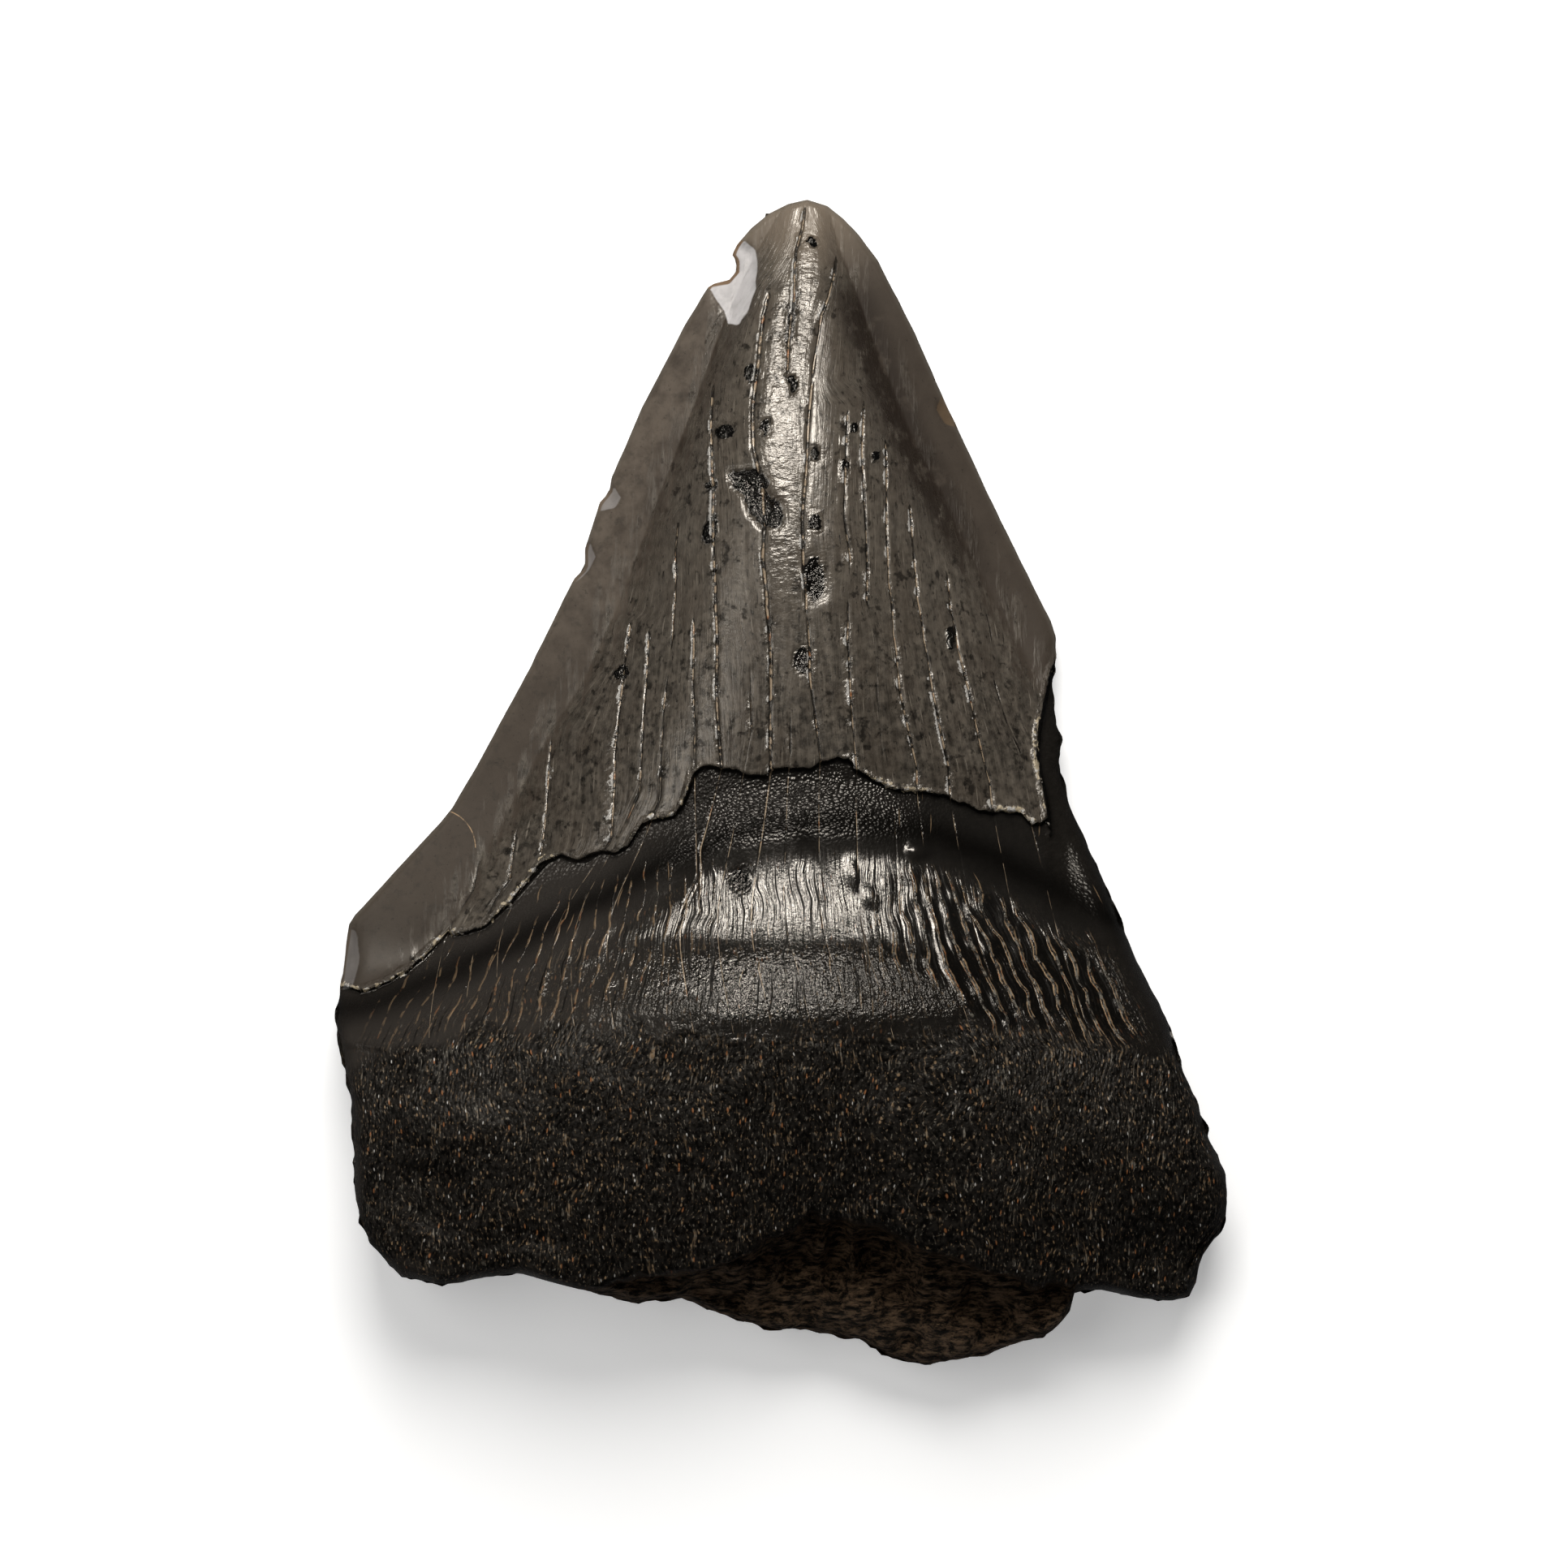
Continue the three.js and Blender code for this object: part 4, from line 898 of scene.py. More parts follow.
def weathering_tree():
    """Geometry Nodes tree that wears the lattice: grain, pores, growth ridges and wrinkles along the normals."""
    tree = bpy.data.node_groups.new("Weathered surface", "GeometryNodeTree")
    tree.interface.new_socket("Geometry", in_out="INPUT", socket_type="NodeSocketGeometry")
    for name in ("Grain Depth", "Grain Size", "Pore Depth", "Pore Size", "Ridge Depth", "Ridge Spacing",
                 "Wrinkle Depth", "Wrinkle Size", "Rubble Depth", "Rubble Size", "Seed"):
        tree.interface.new_socket(name, in_out="INPUT", socket_type="NodeSocketFloat")
    tree.interface.new_socket("Material", in_out="INPUT", socket_type="NodeSocketMaterial")
    tree.interface.new_socket("Geometry", in_out="OUTPUT", socket_type="NodeSocketGeometry")
    graph = Graph(tree)
    given = graph.add("NodeGroupInput").outputs
    place = graph.add("GeometryNodeInputPosition").outputs[0]
    strand = graph.point_attribute("strand", "FLOAT_VECTOR")
    rough = graph.point_attribute("rough")
    broken = graph.point_attribute("broken")
    bulge = graph.point_attribute("bulge")
    leather = graph.point_attribute("leather")
    enamel = graph.ramp(graph.point_attribute("enamel"), -0.1, 0.1)

    def per(size):
        return graph.maths("DIVIDE", 1.0, size)

    def centred(value):
        return graph.maths("SUBTRACT", value, 0.5)

    dentine = graph.maths("SUBTRACT", 1.0, enamel)
    grain = centred(graph.noise(place, per(given["Grain Size"]), 3.0, 0.6, given["Seed"]))
    grain_share = graph.total(graph.maths("MULTIPLY", rough, 0.8), graph.maths("MULTIPLY", dentine, 0.2))
    grain = graph.maths("MULTIPLY", graph.maths("MULTIPLY", grain, grain_share), given["Grain Depth"])
    pore = graph.ramp(graph.cells(graph.scaled(strand, (1.0, 0.45, 1.0)), per(given["Pore Size"])), 0.15, 0.45, -1.0, 0.0)
    pore = graph.maths("MULTIPLY", graph.maths("MULTIPLY", pore, rough), given["Pore Depth"])
    ridge = graph.noise(graph.scaled(strand, (1.0, 0.14, 1.0)), per(given["Ridge Spacing"]), 1.5, 0.5, given["Seed"])
    ridge = graph.maths("MULTIPLY", graph.maths("MULTIPLY", centred(ridge), bulge), given["Ridge Depth"])
    wrinkle = centred(graph.noise(graph.scaled(strand, (0.6, 1.0, 1.0)), per(given["Wrinkle Size"]), 2.0, 0.6, given["Seed"]))
    wrinkle = graph.maths("MULTIPLY", graph.maths("MULTIPLY", wrinkle, leather), given["Wrinkle Depth"])
    rubble = centred(graph.noise(graph.scaled(place, (0.5, 1.0, 1.0)), per(given["Rubble Size"]), 4.0, 0.7, given["Seed"]))
    rubble = graph.maths("MULTIPLY", graph.maths("MULTIPLY", rubble, broken), given["Rubble Depth"])
    lift = graph.total(grain, pore, ridge, wrinkle, rubble)
    normal = graph.add("GeometryNodeInputNormal").outputs[0]
    offset = graph.add("ShaderNodeVectorMath", {0: normal}, operation="SCALE")
    graph.feed(offset.inputs["Scale"], lift)
    worn = graph.add("GeometryNodeSetPosition", {"Geometry": given["Geometry"], "Offset": offset.outputs[0]})
    split = graph.add("ShaderNodeSeparateXYZ", {0: place}).outputs
    lowest = graph.maths("MAXIMUM", split[2], 0.0)
    level = graph.add("ShaderNodeCombineXYZ", {0: split[0], 1: split[1], 2: lowest}).outputs[0]
    resting = graph.add("GeometryNodeSetPosition", {"Geometry": worn.outputs[0], "Position": level})
    whole = graph.add("GeometryNodeRealizeInstances", {"Geometry": resting.outputs[0]})
    dressed = graph.add("GeometryNodeSetMaterial", {"Geometry": whole.outputs[0], "Material": given["Material"]})
    graph.tree.links.new(dressed.outputs[0], graph.add("NodeGroupOutput").inputs[0])
    return tree


def weathered(mesh, sizes, material):
    """The mesh after the weathering tree, as a plain object."""
    raw = bpy.data.objects.new("tooth_lattice", mesh)
    bpy.context.scene.collection.objects.link(raw)
    tree = weathering_tree()
    modifier = raw.modifiers.new("Weathered surface", "NODES")
    modifier.node_group = tree
    values = {
        "Grain Depth": sizes.grain_depth, "Grain Size": 0.8 * MM, "Pore Depth": sizes.pore_depth,
        "Pore Size": 1.1 * MM, "Ridge Depth": sizes.ridge_depth, "Ridge Spacing": 0.9 * MM,
        "Wrinkle Depth": 0.03 * MM, "Wrinkle Size": 0.7 * MM, "Rubble Depth": 1.1 * MM, "Rubble Size": 2.2 * MM,
        "Seed": sizes.seed, "Material": material,
    }
    for item in tree.interface.items_tree:
        if item.in_out == "INPUT" and item.name in values:
            modifier[item.identifier] = values[item.name]
    raw.update_tag()
    evaluated = raw.evaluated_get(bpy.context.evaluated_depsgraph_get())
    finished = bpy.data.meshes.new_from_object(evaluated)
    raw.modifiers.remove(modifier)
    bpy.data.objects.remove(raw)
    tooth = bpy.data.objects.new("fossil_tooth", finished)
    bpy.context.scene.collection.objects.link(tooth)
    return tooth


def streak_group():
    """Shader group: streaks that run along the growth lines, as a value from 0 to 1."""
    tree = bpy.data.node_groups.new("Growth streaks", "ShaderNodeTree")
    tree.interface.new_socket("Flow", in_out="INPUT", socket_type="NodeSocketVector")
    for name, default in (("Spacing", 0.5), ("Length", 20.0), ("Seed", 0.0)):
        tree.interface.new_socket(name, in_out="INPUT", socket_type="NodeSocketFloat").default_value = default
    tree.interface.new_socket("Streak", in_out="OUTPUT", socket_type="NodeSocketFloat")
    graph = Graph(tree)
    given = graph.add("NodeGroupInput").outputs
    squeeze = graph.add("ShaderNodeCombineXYZ", {0: 1.0, 1: graph.maths("DIVIDE", 1.0, given["Length"]), 2: 1.0})
    vector = graph.scaled(given["Flow"], squeeze.outputs[0])
    scale = graph.maths("DIVIDE", 1.0 / MM, given["Spacing"])
    value = graph.noise(vector, scale, 3.0, 0.6, given["Seed"])
    graph.tree.links.new(graph.ramp(value, 0.3, 0.7), graph.add("NodeGroupOutput").inputs[0])
    return tree


def speckle_group():
    """Shader group: scattered short dashes along the growth lines, as a mask from 0 to 1."""
    tree = bpy.data.node_groups.new("Dashes", "ShaderNodeTree")
    tree.interface.new_socket("Flow", in_out="INPUT", socket_type="NodeSocketVector")
    for name, default in (("Spacing", 0.6), ("Length", 3.0), ("Width", 0.3), ("Amount", 0.5), ("Seed", 0.0)):
        tree.interface.new_socket(name, in_out="INPUT", socket_type="NodeSocketFloat").default_value = default
    tree.interface.new_socket("Dash", in_out="OUTPUT", socket_type="NodeSocketFloat")
    graph = Graph(tree)
    given = graph.add("NodeGroupInput").outputs
    squeeze = graph.add("ShaderNodeCombineXYZ", {0: 1.0, 1: graph.maths("DIVIDE", 1.0, given["Length"]), 2: 1.0})
    vector = graph.scaled(given["Flow"], squeeze.outputs[0])
    shifted = graph.add("ShaderNodeVectorMath", {0: vector, 1: graph.add("ShaderNodeCombineXYZ", {0: given["Seed"]}).outputs[0]}).outputs[0]
    voronoi = graph.add("ShaderNodeTexVoronoi", {"Vector": shifted, "Randomness": 1.0}, voronoi_dimensions="2D")
    graph.feed(voronoi.inputs["Scale"], graph.maths("DIVIDE", 1.0 / MM, given["Spacing"]))
    chance = graph.add("ShaderNodeSeparateXYZ", {0: voronoi.outputs["Color"]}).outputs[0]
    kept = graph.maths("LESS_THAN", chance, given["Amount"])
    spot = graph.ramp(voronoi.outputs["Distance"], given["Width"], graph.maths("MULTIPLY", given["Width"], 0.4))
    graph.tree.links.new(graph.maths("MULTIPLY", kept, spot), graph.add("NodeGroupOutput").inputs[0])
    return tree


def ridge_group():
    """Shader group: slanted growth ridges, as a height from 0 in the channels to 1, and a mask along their edges."""
    tree = bpy.data.node_groups.new("Growth ridges", "ShaderNodeTree")
    tree.interface.new_socket("Flow", in_out="INPUT", socket_type="NodeSocketVector")
    for name in ("Start", "Spacing", "Share"):
        tree.interface.new_socket(name, in_out="INPUT", socket_type="NodeSocketFloat")
    for name in ("Height", "Edge"):
        tree.interface.new_socket(name, in_out="OUTPUT", socket_type="NodeSocketFloat")
    graph = Graph(tree)
    given = graph.add("NodeGroupInput").outputs
    across = graph.add("ShaderNodeSeparateXYZ", {0: given["Flow"]}).outputs[0]
    count = graph.maths("DIVIDE", graph.maths("SUBTRACT", across, given["Start"]), given["Spacing"])
    wobble = graph.noise(given["Flow"], 0.7 / MM, 3.0, 0.6, 2.0)
    count = graph.maths("ADD", count, graph.maths("MULTIPLY", graph.maths("SUBTRACT", wobble, 0.5), 0.3))
    drift = graph.noise(given["Flow"], 0.3 / MM, 1.0, 0.5, 3.0)
    count = graph.maths("ADD", count, graph.maths("MULTIPLY", graph.maths("SUBTRACT", drift, 0.5), 0.9))
    away = graph.maths("ABSOLUTE", graph.maths("SUBTRACT", graph.maths("FRACT", count), 0.5))
    output = graph.add("NodeGroupOutput")
    border = graph.maths("SUBTRACT", 0.5, given["Share"])
    foot = graph.maths("SUBTRACT", border, 0.03)
    graph.tree.links.new(graph.ramp(away, foot, graph.maths("ADD", border, 0.02)), output.inputs["Height"])
    beside = graph.maths("ABSOLUTE", graph.maths("SUBTRACT", away, border))
    graph.tree.links.new(graph.ramp(beside, 0.045, 0.016), output.inputs["Edge"])
    return tree


def hairline_group():
    """Shader group: one curved hairline crack, as a mask along an arc from the rim inwards."""
    tree = bpy.data.node_groups.new("Hairline", "ShaderNodeTree")
    for name in ("Place", "Centre"):
        tree.interface.new_socket(name, in_out="INPUT", socket_type="NodeSocketVector")
    for name in ("Radius", "Half Width"):
        tree.interface.new_socket(name, in_out="INPUT", socket_type="NodeSocketFloat")
    tree.interface.new_socket("Line", in_out="OUTPUT", socket_type="NodeSocketFloat")
    graph = Graph(tree)
    given = graph.add("NodeGroupInput").outputs
    flat = graph.scaled(given["Place"], (1.0, 1.0, 0.0))
    away = graph.add("ShaderNodeVectorMath", {0: flat, 1: given["Centre"]}, operation="SUBTRACT").outputs[0]
    length = graph.add("ShaderNodeVectorMath", {0: away}, operation="LENGTH").outputs["Value"]
    beside = graph.maths("ABSOLUTE", graph.maths("SUBTRACT", length, given["Radius"]))
    line = graph.maths("LESS_THAN", beside, given["Half Width"])
    parts = graph.add("ShaderNodeSeparateXYZ", {0: away}).outputs
    upper = graph.maths("MULTIPLY", graph.maths("GREATER_THAN", parts[0], 0.0), graph.maths("GREATER_THAN", parts[1], 0.0))
    graph.tree.links.new(graph.maths("MULTIPLY", line, upper), graph.add("NodeGroupOutput").inputs[0])
    return tree


def tone(colour, alpha=1.0):
    return (*colour[:3], alpha)


def fossil_material(colours):
    """Polished cracked enamel over a black, porous root, told apart by the masks in the mesh."""
    material = bpy.data.materials.new("fossil")
    material.use_nodes = True
    material.node_tree.nodes.clear()
    graph = Graph(material.node_tree)
    streaks = streak_group()
    dashes = speckle_group()
    place = graph.add("ShaderNodeTexCoord").outputs["Object"]
    fan = graph.shader_attribute("fan", "Vector")
    strand = graph.shader_attribute("strand", "Vector")
    mask = {name: graph.shader_attribute(name) for name in MASKS}

    def streak(vector, spacing, length, seed):
        node = graph.add("ShaderNodeGroup", node_tree=streaks)
        for name, value in (("Flow", vector), ("Spacing", spacing), ("Length", length), ("Seed", seed)):
            graph.feed(node.inputs[name], value)
        return node.outputs[0]

    def dash(vector, spacing, length, width, amount, seed):
        node = graph.add("ShaderNodeGroup", node_tree=dashes)
        sizes = (("Spacing", spacing), ("Length", length), ("Width", width), ("Amount", amount), ("Seed", seed))
        for name, value in (("Flow", vector), *sizes):
            graph.feed(node.inputs[name], value)
        return node.outputs[0]

    def fine(size, detail=2.0, seed=0.0):
        return graph.noise(place, 1 / (size * MM), detail, 0.6, seed)

    def times(*values):
        result = values[0]
        for value in values[1:]:
            result = graph.maths("MULTIPLY", result, value)
        return result

    def less(value):
        return graph.maths("SUBTRACT", 1.0, value)

    crumble = graph.maths("MULTIPLY", graph.maths("SUBTRACT", fine(0.5, 3.0), 0.5), 0.3)
    edge = graph.maths("ADD", mask["enamel"], crumble)
    enamel = graph.ramp(edge, -0.04, 0.04)
    edge_worn = graph.ramp(mask["crumb"], 0.0, 0.5, 0.15, 1.0)
    dentine = less(enamel)
    edge_rim = times(graph.ramp(edge, 0.3, 0.1), enamel, graph.ramp(fine(0.9, 3.0, 30.0), 0.42, 0.62), edge_worn)
    edge_shade = times(graph.ramp(edge, -0.8, -0.1), dentine)
    bead = graph.maths("MULTIPLY", fine(0.9, 3.0, 18.0), 2.2)
    crumbs = graph.ramp(graph.maths("ADD", mask["crumb"], bead), 1.88, 1.99)
    near_edge = times(graph.ramp(edge, 0.6, 0.1), graph.ramp(edge, -0.4, -0.1), edge_worn)

    fine_streak = streak(fan, 0.28, 12.0, 1.0)
    broad_streak = streak(fan, 1.1, 9.0, 2.0)
    feather = graph.maths("MULTIPLY", graph.maths("SUBTRACT", streak(place, 0.8, 9.0, 3.0), 0.5), 4.6)
    margin = graph.ramp(graph.maths("ADD", mask["margin"], feather), -2.0, 1.6)
    blotch = fine(5.0, 3.0, 4.0)
    up = graph.add("ShaderNodeSeparateXYZ", {0: place}).outputs
    near_tip = graph.ramp(graph.maths("ADD", up[1], graph.maths("MULTIPLY", blotch, 0.008)), 0.05, 0.059)

    mottle = graph.ramp(fine(0.7, 4.0, 31.0), 0.34, 0.66)
    streaky = graph.between(0.65, fine_streak, mottle)
    body = graph.blend(streaky, tone(colours.crown_dark), tone(colours.crown_light))
    body = graph.blend(graph.maths("MULTIPLY", broad_streak, 0.4), body, tone(colours.crown_dark))
    # Painted light: the crown lighter from mid-height upwards.
    body = graph.blend(graph.ramp(up[1], 0.006, 0.02, 0.0, 0.3), body, tone(colours.crown_light))
    body = graph.blend(times(graph.ramp(blotch, 0.4, 0.7), 0.45), body, tone(colours.crown_brown))
    body = graph.blend(times(dash(fan, 0.5, 26.0, 0.09, 0.7, 2.3), 0.75), body, tone(colours.crown_pale))
    body = graph.blend(times(dash(fan, 0.6, 14.0, 0.09, 0.6, 7.1), 0.75), body, tone(colours.pore_black_and_shade))
    smudge = graph.ramp(fine(1.1, 4.0, 5.0), 0.56, 0.66)
    body = graph.blend(graph.maths("MULTIPLY", smudge, 0.75), body, tone(colours.root_black))
    speck = graph.ramp(graph.noise(graph.scaled(fan, (1.0, 0.5, 1.0)), 1 / (0.4 * MM), 3.0, 0.6, 28.0), 0.58, 0.66)
    body = graph.blend(graph.maths("MULTIPLY", speck, 0.7), body, tone(colours.root_black))
    blade = graph.blend(graph.ramp(fine(2.2, 4.0, 6.0), 0.35, 0.7), tone(colours.margin), tone(colours.margin_dark))
    blade = graph.blend(graph.ramp(up[1], 0.026, -0.001, 0.0, 0.9), blade, tone(colours.margin_dark))
    blade = graph.blend(graph.ramp(up[1], -0.009, -0.016, 0.0, 0.35), blade, tone(colours.crown_dark))
    blade = graph.blend(times(graph.ramp(fine(0.9, 4.0, 34.0), 0.5, 0.7), 0.45), blade, tone(colours.crown_dark))
    # The right blade darker brown: partly its own colour, partly painted shade on the side turned from the light.
    blade = graph.blend(graph.ramp(up[0], 0.001, 0.008, 0.0, 0.85), blade, tone(colours.margin_brown_and_shade))
    blade = graph.blend(times(graph.ramp(fine(0.4, 3.0, 29.0), 0.62, 0.68), 0.4), blade, tone(colours.root_black))
    crown = graph.blend(margin, body, blade)
    beside_border = graph.ramp(graph.maths("ABSOLUTE", graph.maths("ADD", mask["margin"], 0.4)), 3.2, 0.8)
    # Painted shade on the dome's flanks beside the blade borders, stronger on the right.
    painted_valley_shade = times(beside_border, graph.ramp(up[1], 0.014, 0.026), graph.ramp(fine(1.6, 4.0, 33.0), 0.32, 0.5))
    painted_valley_shade = times(painted_valley_shade, graph.ramp(up[0], -0.004, 0.006, 0.3, 0.9), graph.ramp(up[1], 0.049, 0.044))
    crown = graph.blend(painted_valley_shade, crown, tone(colours.painted_valley_shade))
    crown = graph.blend(times(near_tip, graph.ramp(up[0], 0.005, 0.011, 1.0, 0.45)), crown, tone(colours.tip))
    crown = graph.blend(graph.maths("MULTIPLY", edge_rim, 0.35), crown, tone(colours.rim))
    # Painted highlight: a pale line along the crown's outline.
    crown = graph.blend(graph.maths("MULTIPLY", mask["edge"], 0.4), crown, tone(colours.rim))

    skin = graph.blend(fine(0.6, 3.0, 7.0), tone(colours.root_black), tone(colours.root_grey))
    skin = graph.blend(graph.ramp(up[0], -0.005, -0.02, 0.0, 0.55), skin, tone(colours.bevel))
    # Painted shade: the band along the neck groove darkened towards black.
    skin = graph.blend(graph.maths("MULTIPLY", mask["neck"], 0.8), skin, tone(colours.pore_black_and_shade))
    hair = times(dash(strand, 0.45, 34.0, 0.25, 0.8, 4.4), mask["bulge"], dentine)
    skin = graph.blend(hair, skin, tone(colours.pore_black_and_shade))
    thread = dash(strand, 1.5, 14.0, 0.05, 0.6, 5.7)
    skin = graph.blend(times(thread, 0.35, less(mask["rough"])), skin, tone(colours.fleck_tan))
    fleck_here = graph.maths("MAXIMUM", mask["rough"], times(mask["bulge"], 0.25))
    clustered = graph.ramp(fine(2.6, 3.0, 39.0), 0.38, 0.62, 0.35, 1.0)
    bed = graph.noise(graph.scaled(strand, (1.0, 0.5, 1.0)), 1 / (0.3 * MM), 3.0, 0.65, 40.0)
    grain = graph.blend(graph.ramp(bed, 0.4, 0.62), tone(colours.pore_black_and_shade), tone(colours.root_grey))
    speckled = graph.noise(graph.scaled(strand, (1.0, 0.42, 1.0)), 1 / (0.2 * MM), 2.0, 0.6, 32.0)
    speckle_tone = graph.blend(graph.ramp(fine(0.7, 2.0, 41.0), 0.4, 0.6), tone(colours.fleck_grey), tone(colours.fleck_tan))
    grain = graph.blend(times(graph.ramp(speckled, 0.56, 0.7), 0.42), grain, speckle_tone)
    long_streak = graph.ramp(streak(strand, 0.22, 11.0, 42.0), 0.72, 0.95)
    grain = graph.blend(times(long_streak, clustered, graph.ramp(fine(1.2, 3.0, 43.0), 0.46, 0.6), 0.5), grain, speckle_tone)
    grain = graph.blend(times(dash(strand, 0.5, 3.4, 0.18, 0.09, 3.1), 0.6), grain, tone(colours.fleck_orange))
    grain = graph.blend(times(dash(strand, 0.55, 2.2, 0.17, 0.2, 1.7), 0.5), grain, tone(colours.fleck_tan))
    # White dashes in the rough root: painted glints in place of sparkles of light.
    grain = graph.blend(dash(strand, 0.5, 3.2, 0.13, 0.1, 9.9), grain, tone(colours.flake_and_glint))
    root = graph.blend(fleck_here, skin, grain)
    ridges = graph.add("ShaderNodeGroup", node_tree=ridge_group())
    ridge_share = graph.ramp(up[0], -0.006, 0.010, 0.03, 0.1)
    ridge_sizes = (("Start", STRAND_START * MM), ("Spacing", STRAND_WIDTH * MM), ("Share", ridge_share))
    for name, value in (("Flow", strand), *ridge_sizes):
        graph.feed(ridges.inputs[name], value)
    ridge_crest = times(ridges.outputs["Height"], mask["ridge"], graph.ramp(up[0], -0.002, 0.01))
    channel = times(less(ridges.outputs["Height"]), mask["ridge"], graph.ramp(up[0], -0.002, 0.008))
    root = graph.blend(times(channel, 0.8), root, tone(colours.pore_black_and_shade))
    root = graph.blend(times(ridge_crest, graph.ramp(fine(0.5, 3.0, 26.0), 0.44, 0.65), 0.4), root, tone(colours.fleck_grey))
    ridge_tone = graph.blend(graph.ramp(fine(1.1, 2.0, 19.0), 0.56, 0.68), tone(colours.fleck_tan), tone(colours.fleck_orange))
    ridge_edge = times(ridges.outputs["Edge"], mask["ridge"], graph.ramp(fine(1.2, 3.0, 20.0), 0.44, 0.55))
    root = graph.blend(times(ridge_edge, 0.8), root, ridge_tone)
    bevel = graph.blend(streak(strand, 0.5, 9.0, 8.0), tone(colours.root_grey), tone(colours.bevel))
    root = graph.blend(times(mask["facet"], 0.8), root, bevel)
    # Painted shadow: the strip below the enamel's step darkened towards black.
    root = graph.blend(times(edge_shade, 0.8), root, tone(colours.pore_black_and_shade))
    wood = graph.noise(graph.scaled(place, (0.28, 1.0, 1.0)), 1 / (0.5 * MM), 5.0, 0.75, 9.0)
    spongy = graph.blend(graph.ramp(wood, 0.42, 0.64), tone(colours.pore_black_and_shade), tone(colours.break_brown))
    fibre = graph.noise(graph.scaled(place, (0.2, 1.0, 1.0)), 1 / (0.3 * MM), 3.0, 0.65, 48.0)
    spongy = graph.blend(times(graph.ramp(fibre, 0.6, 0.7), 0.3), spongy, tone(colours.fleck_tan))
    root = graph.blend(mask["broken"], root, spongy)

    colour = graph.blend(enamel, root, crown)
    crumb_tone = graph.blend(graph.ramp(fine(0.6, 2.0, 50.0), 0.5, 0.62), tone(colours.crumb), tone(colours.flake_and_glint))
    colour = graph.blend(crumbs, colour, crumb_tone)
    pit_edge = graph.maths("ADD", mask["pit"], graph.maths("MULTIPLY", fine(0.55, 4.0, 44.0), 1.5))
    pit_share = graph.ramp(pit_edge, 1.12, 1.24)
    colour = graph.blend(pit_share, colour, tone(colours.pore_black_and_shade))
    in_cavity = times(graph.ramp(up[1], 0.0215, 0.0235), graph.ramp(up[1], 0.0305, 0.029), graph.ramp(up[0], 0.001, -0.0005))
    # Painted glint: a pale ragged rim on the big cavity's lower-left wall.
    pit_rim_glint = times(graph.ramp(pit_edge, 0.98, 1.1), graph.ramp(pit_edge, 1.3, 1.18), enamel, in_cavity)
    pit_rim_glint = times(pit_rim_glint, graph.ramp(fine(0.8, 2.0, 47.0), 0.46, 0.58))
    colour = graph.blend(times(pit_rim_glint, 0.6), colour, tone(colours.flake_and_glint))
    # Pale flakes beside the cracks: partly real pale chips, partly painted glints on the crack lips.
    flake_and_glint = graph.ramp(graph.maths("ADD", mask["lip"], graph.maths("MULTIPLY", fine(0.35, 3.0, 27.0), 1.6)), 1.36, 1.5)
    colour = graph.blend(times(flake_and_glint, 0.8), colour, tone(colours.flake_and_glint))
    rusty = graph.ramp(fine(1.3, 2.0, 10.0), 0.58, 0.74)
    crack_tone = graph.blend(rusty, tone(colours.crack_tan), tone(colours.fleck_orange))
    gap = graph.ramp(graph.maths("ADD", mask["seam"], graph.maths("MULTIPLY", fine(0.4, 2.0, 38.0), 0.5)), 0.38, 0.6)
    colour = graph.blend(times(gap, 0.85), colour, tone(colours.pore_black_and_shade))
    filled = times(graph.ramp(mask["seam"], 0.42, 0.7), graph.ramp(fine(0.9, 4.0, 11.0), 0.46, 0.54))
    colour = graph.blend(times(filled, 0.85), colour, crack_tone)
    hairline = graph.add("ShaderNodeGroup", node_tree=hairline_group())
    centre = tuple(value * MM for value in (*HAIRLINE_CENTRE, 0))
    for name, value in (("Place", place), ("Centre", centre), ("Radius", HAIRLINE_RADIUS * MM), ("Half Width", 0.05 * MM)):
        graph.feed(hairline.inputs[name], value)
    hairline_share = times(hairline.outputs[0], graph.ramp(fine(0.8, 2.0, 35.0), 0.42, 0.55, 0.15, 0.8))
    colour = graph.blend(hairline_share, colour, tone(colours.fleck_tan))
    healed = times(graph.ramp(mask["seam"], 0.12, 0.22), dentine, graph.ramp(fine(1.6, 2.0, 21.0), 0.4, 0.52))
    colour = graph.blend(times(healed, 0.75), colour, crack_tone)
    chip = graph.blend(graph.ramp(fine(1.2, 3.0, 12.0), 0.35, 0.75), tone(colours.chip), tone(colours.chip_grey))
    chip = graph.blend(graph.ramp(mask["edge"], 0.45, 0.7), chip, tone(colours.break_brown))
    chip = graph.blend(graph.ramp(up[0], 0.012, 0.014), chip, tone(colours.chip_brown))
    chipped = graph.ramp(mask["chip"], 0.42, 0.58)
    colour = graph.blend(times(chipped, mask["fresh"]), colour, chip)

    crown_shine = graph.between(margin, graph.between(fine_streak, 0.22, 0.32), 0.5)
    crown_shine = graph.between(mask["hammer"], crown_shine, 0.22)
    crown_shine = graph.between(flake_and_glint, crown_shine, 0.14)
    low_band = graph.ramp(up[1], -0.0145, -0.017)
    skin_shine = graph.between(times(low_band, 0.6), graph.between(fine(0.25, 2.0, 45.0), 0.08, 0.3), 0.12)
    root_shine = graph.between(mask["rough"], skin_shine, 0.38)
    root_shine = graph.between(hair, root_shine, 0.6)
    root_shine = graph.between(mask["leather"], root_shine, 0.27)
    root_shine = graph.between(mask["facet"], root_shine, 0.5)
    root_shine = graph.between(mask["broken"], root_shine, 0.62)
    shine = graph.between(enamel, root_shine, crown_shine)
    shine = graph.between(pit_share, shine, 0.13)
    shine = graph.between(chipped, shine, 0.5)

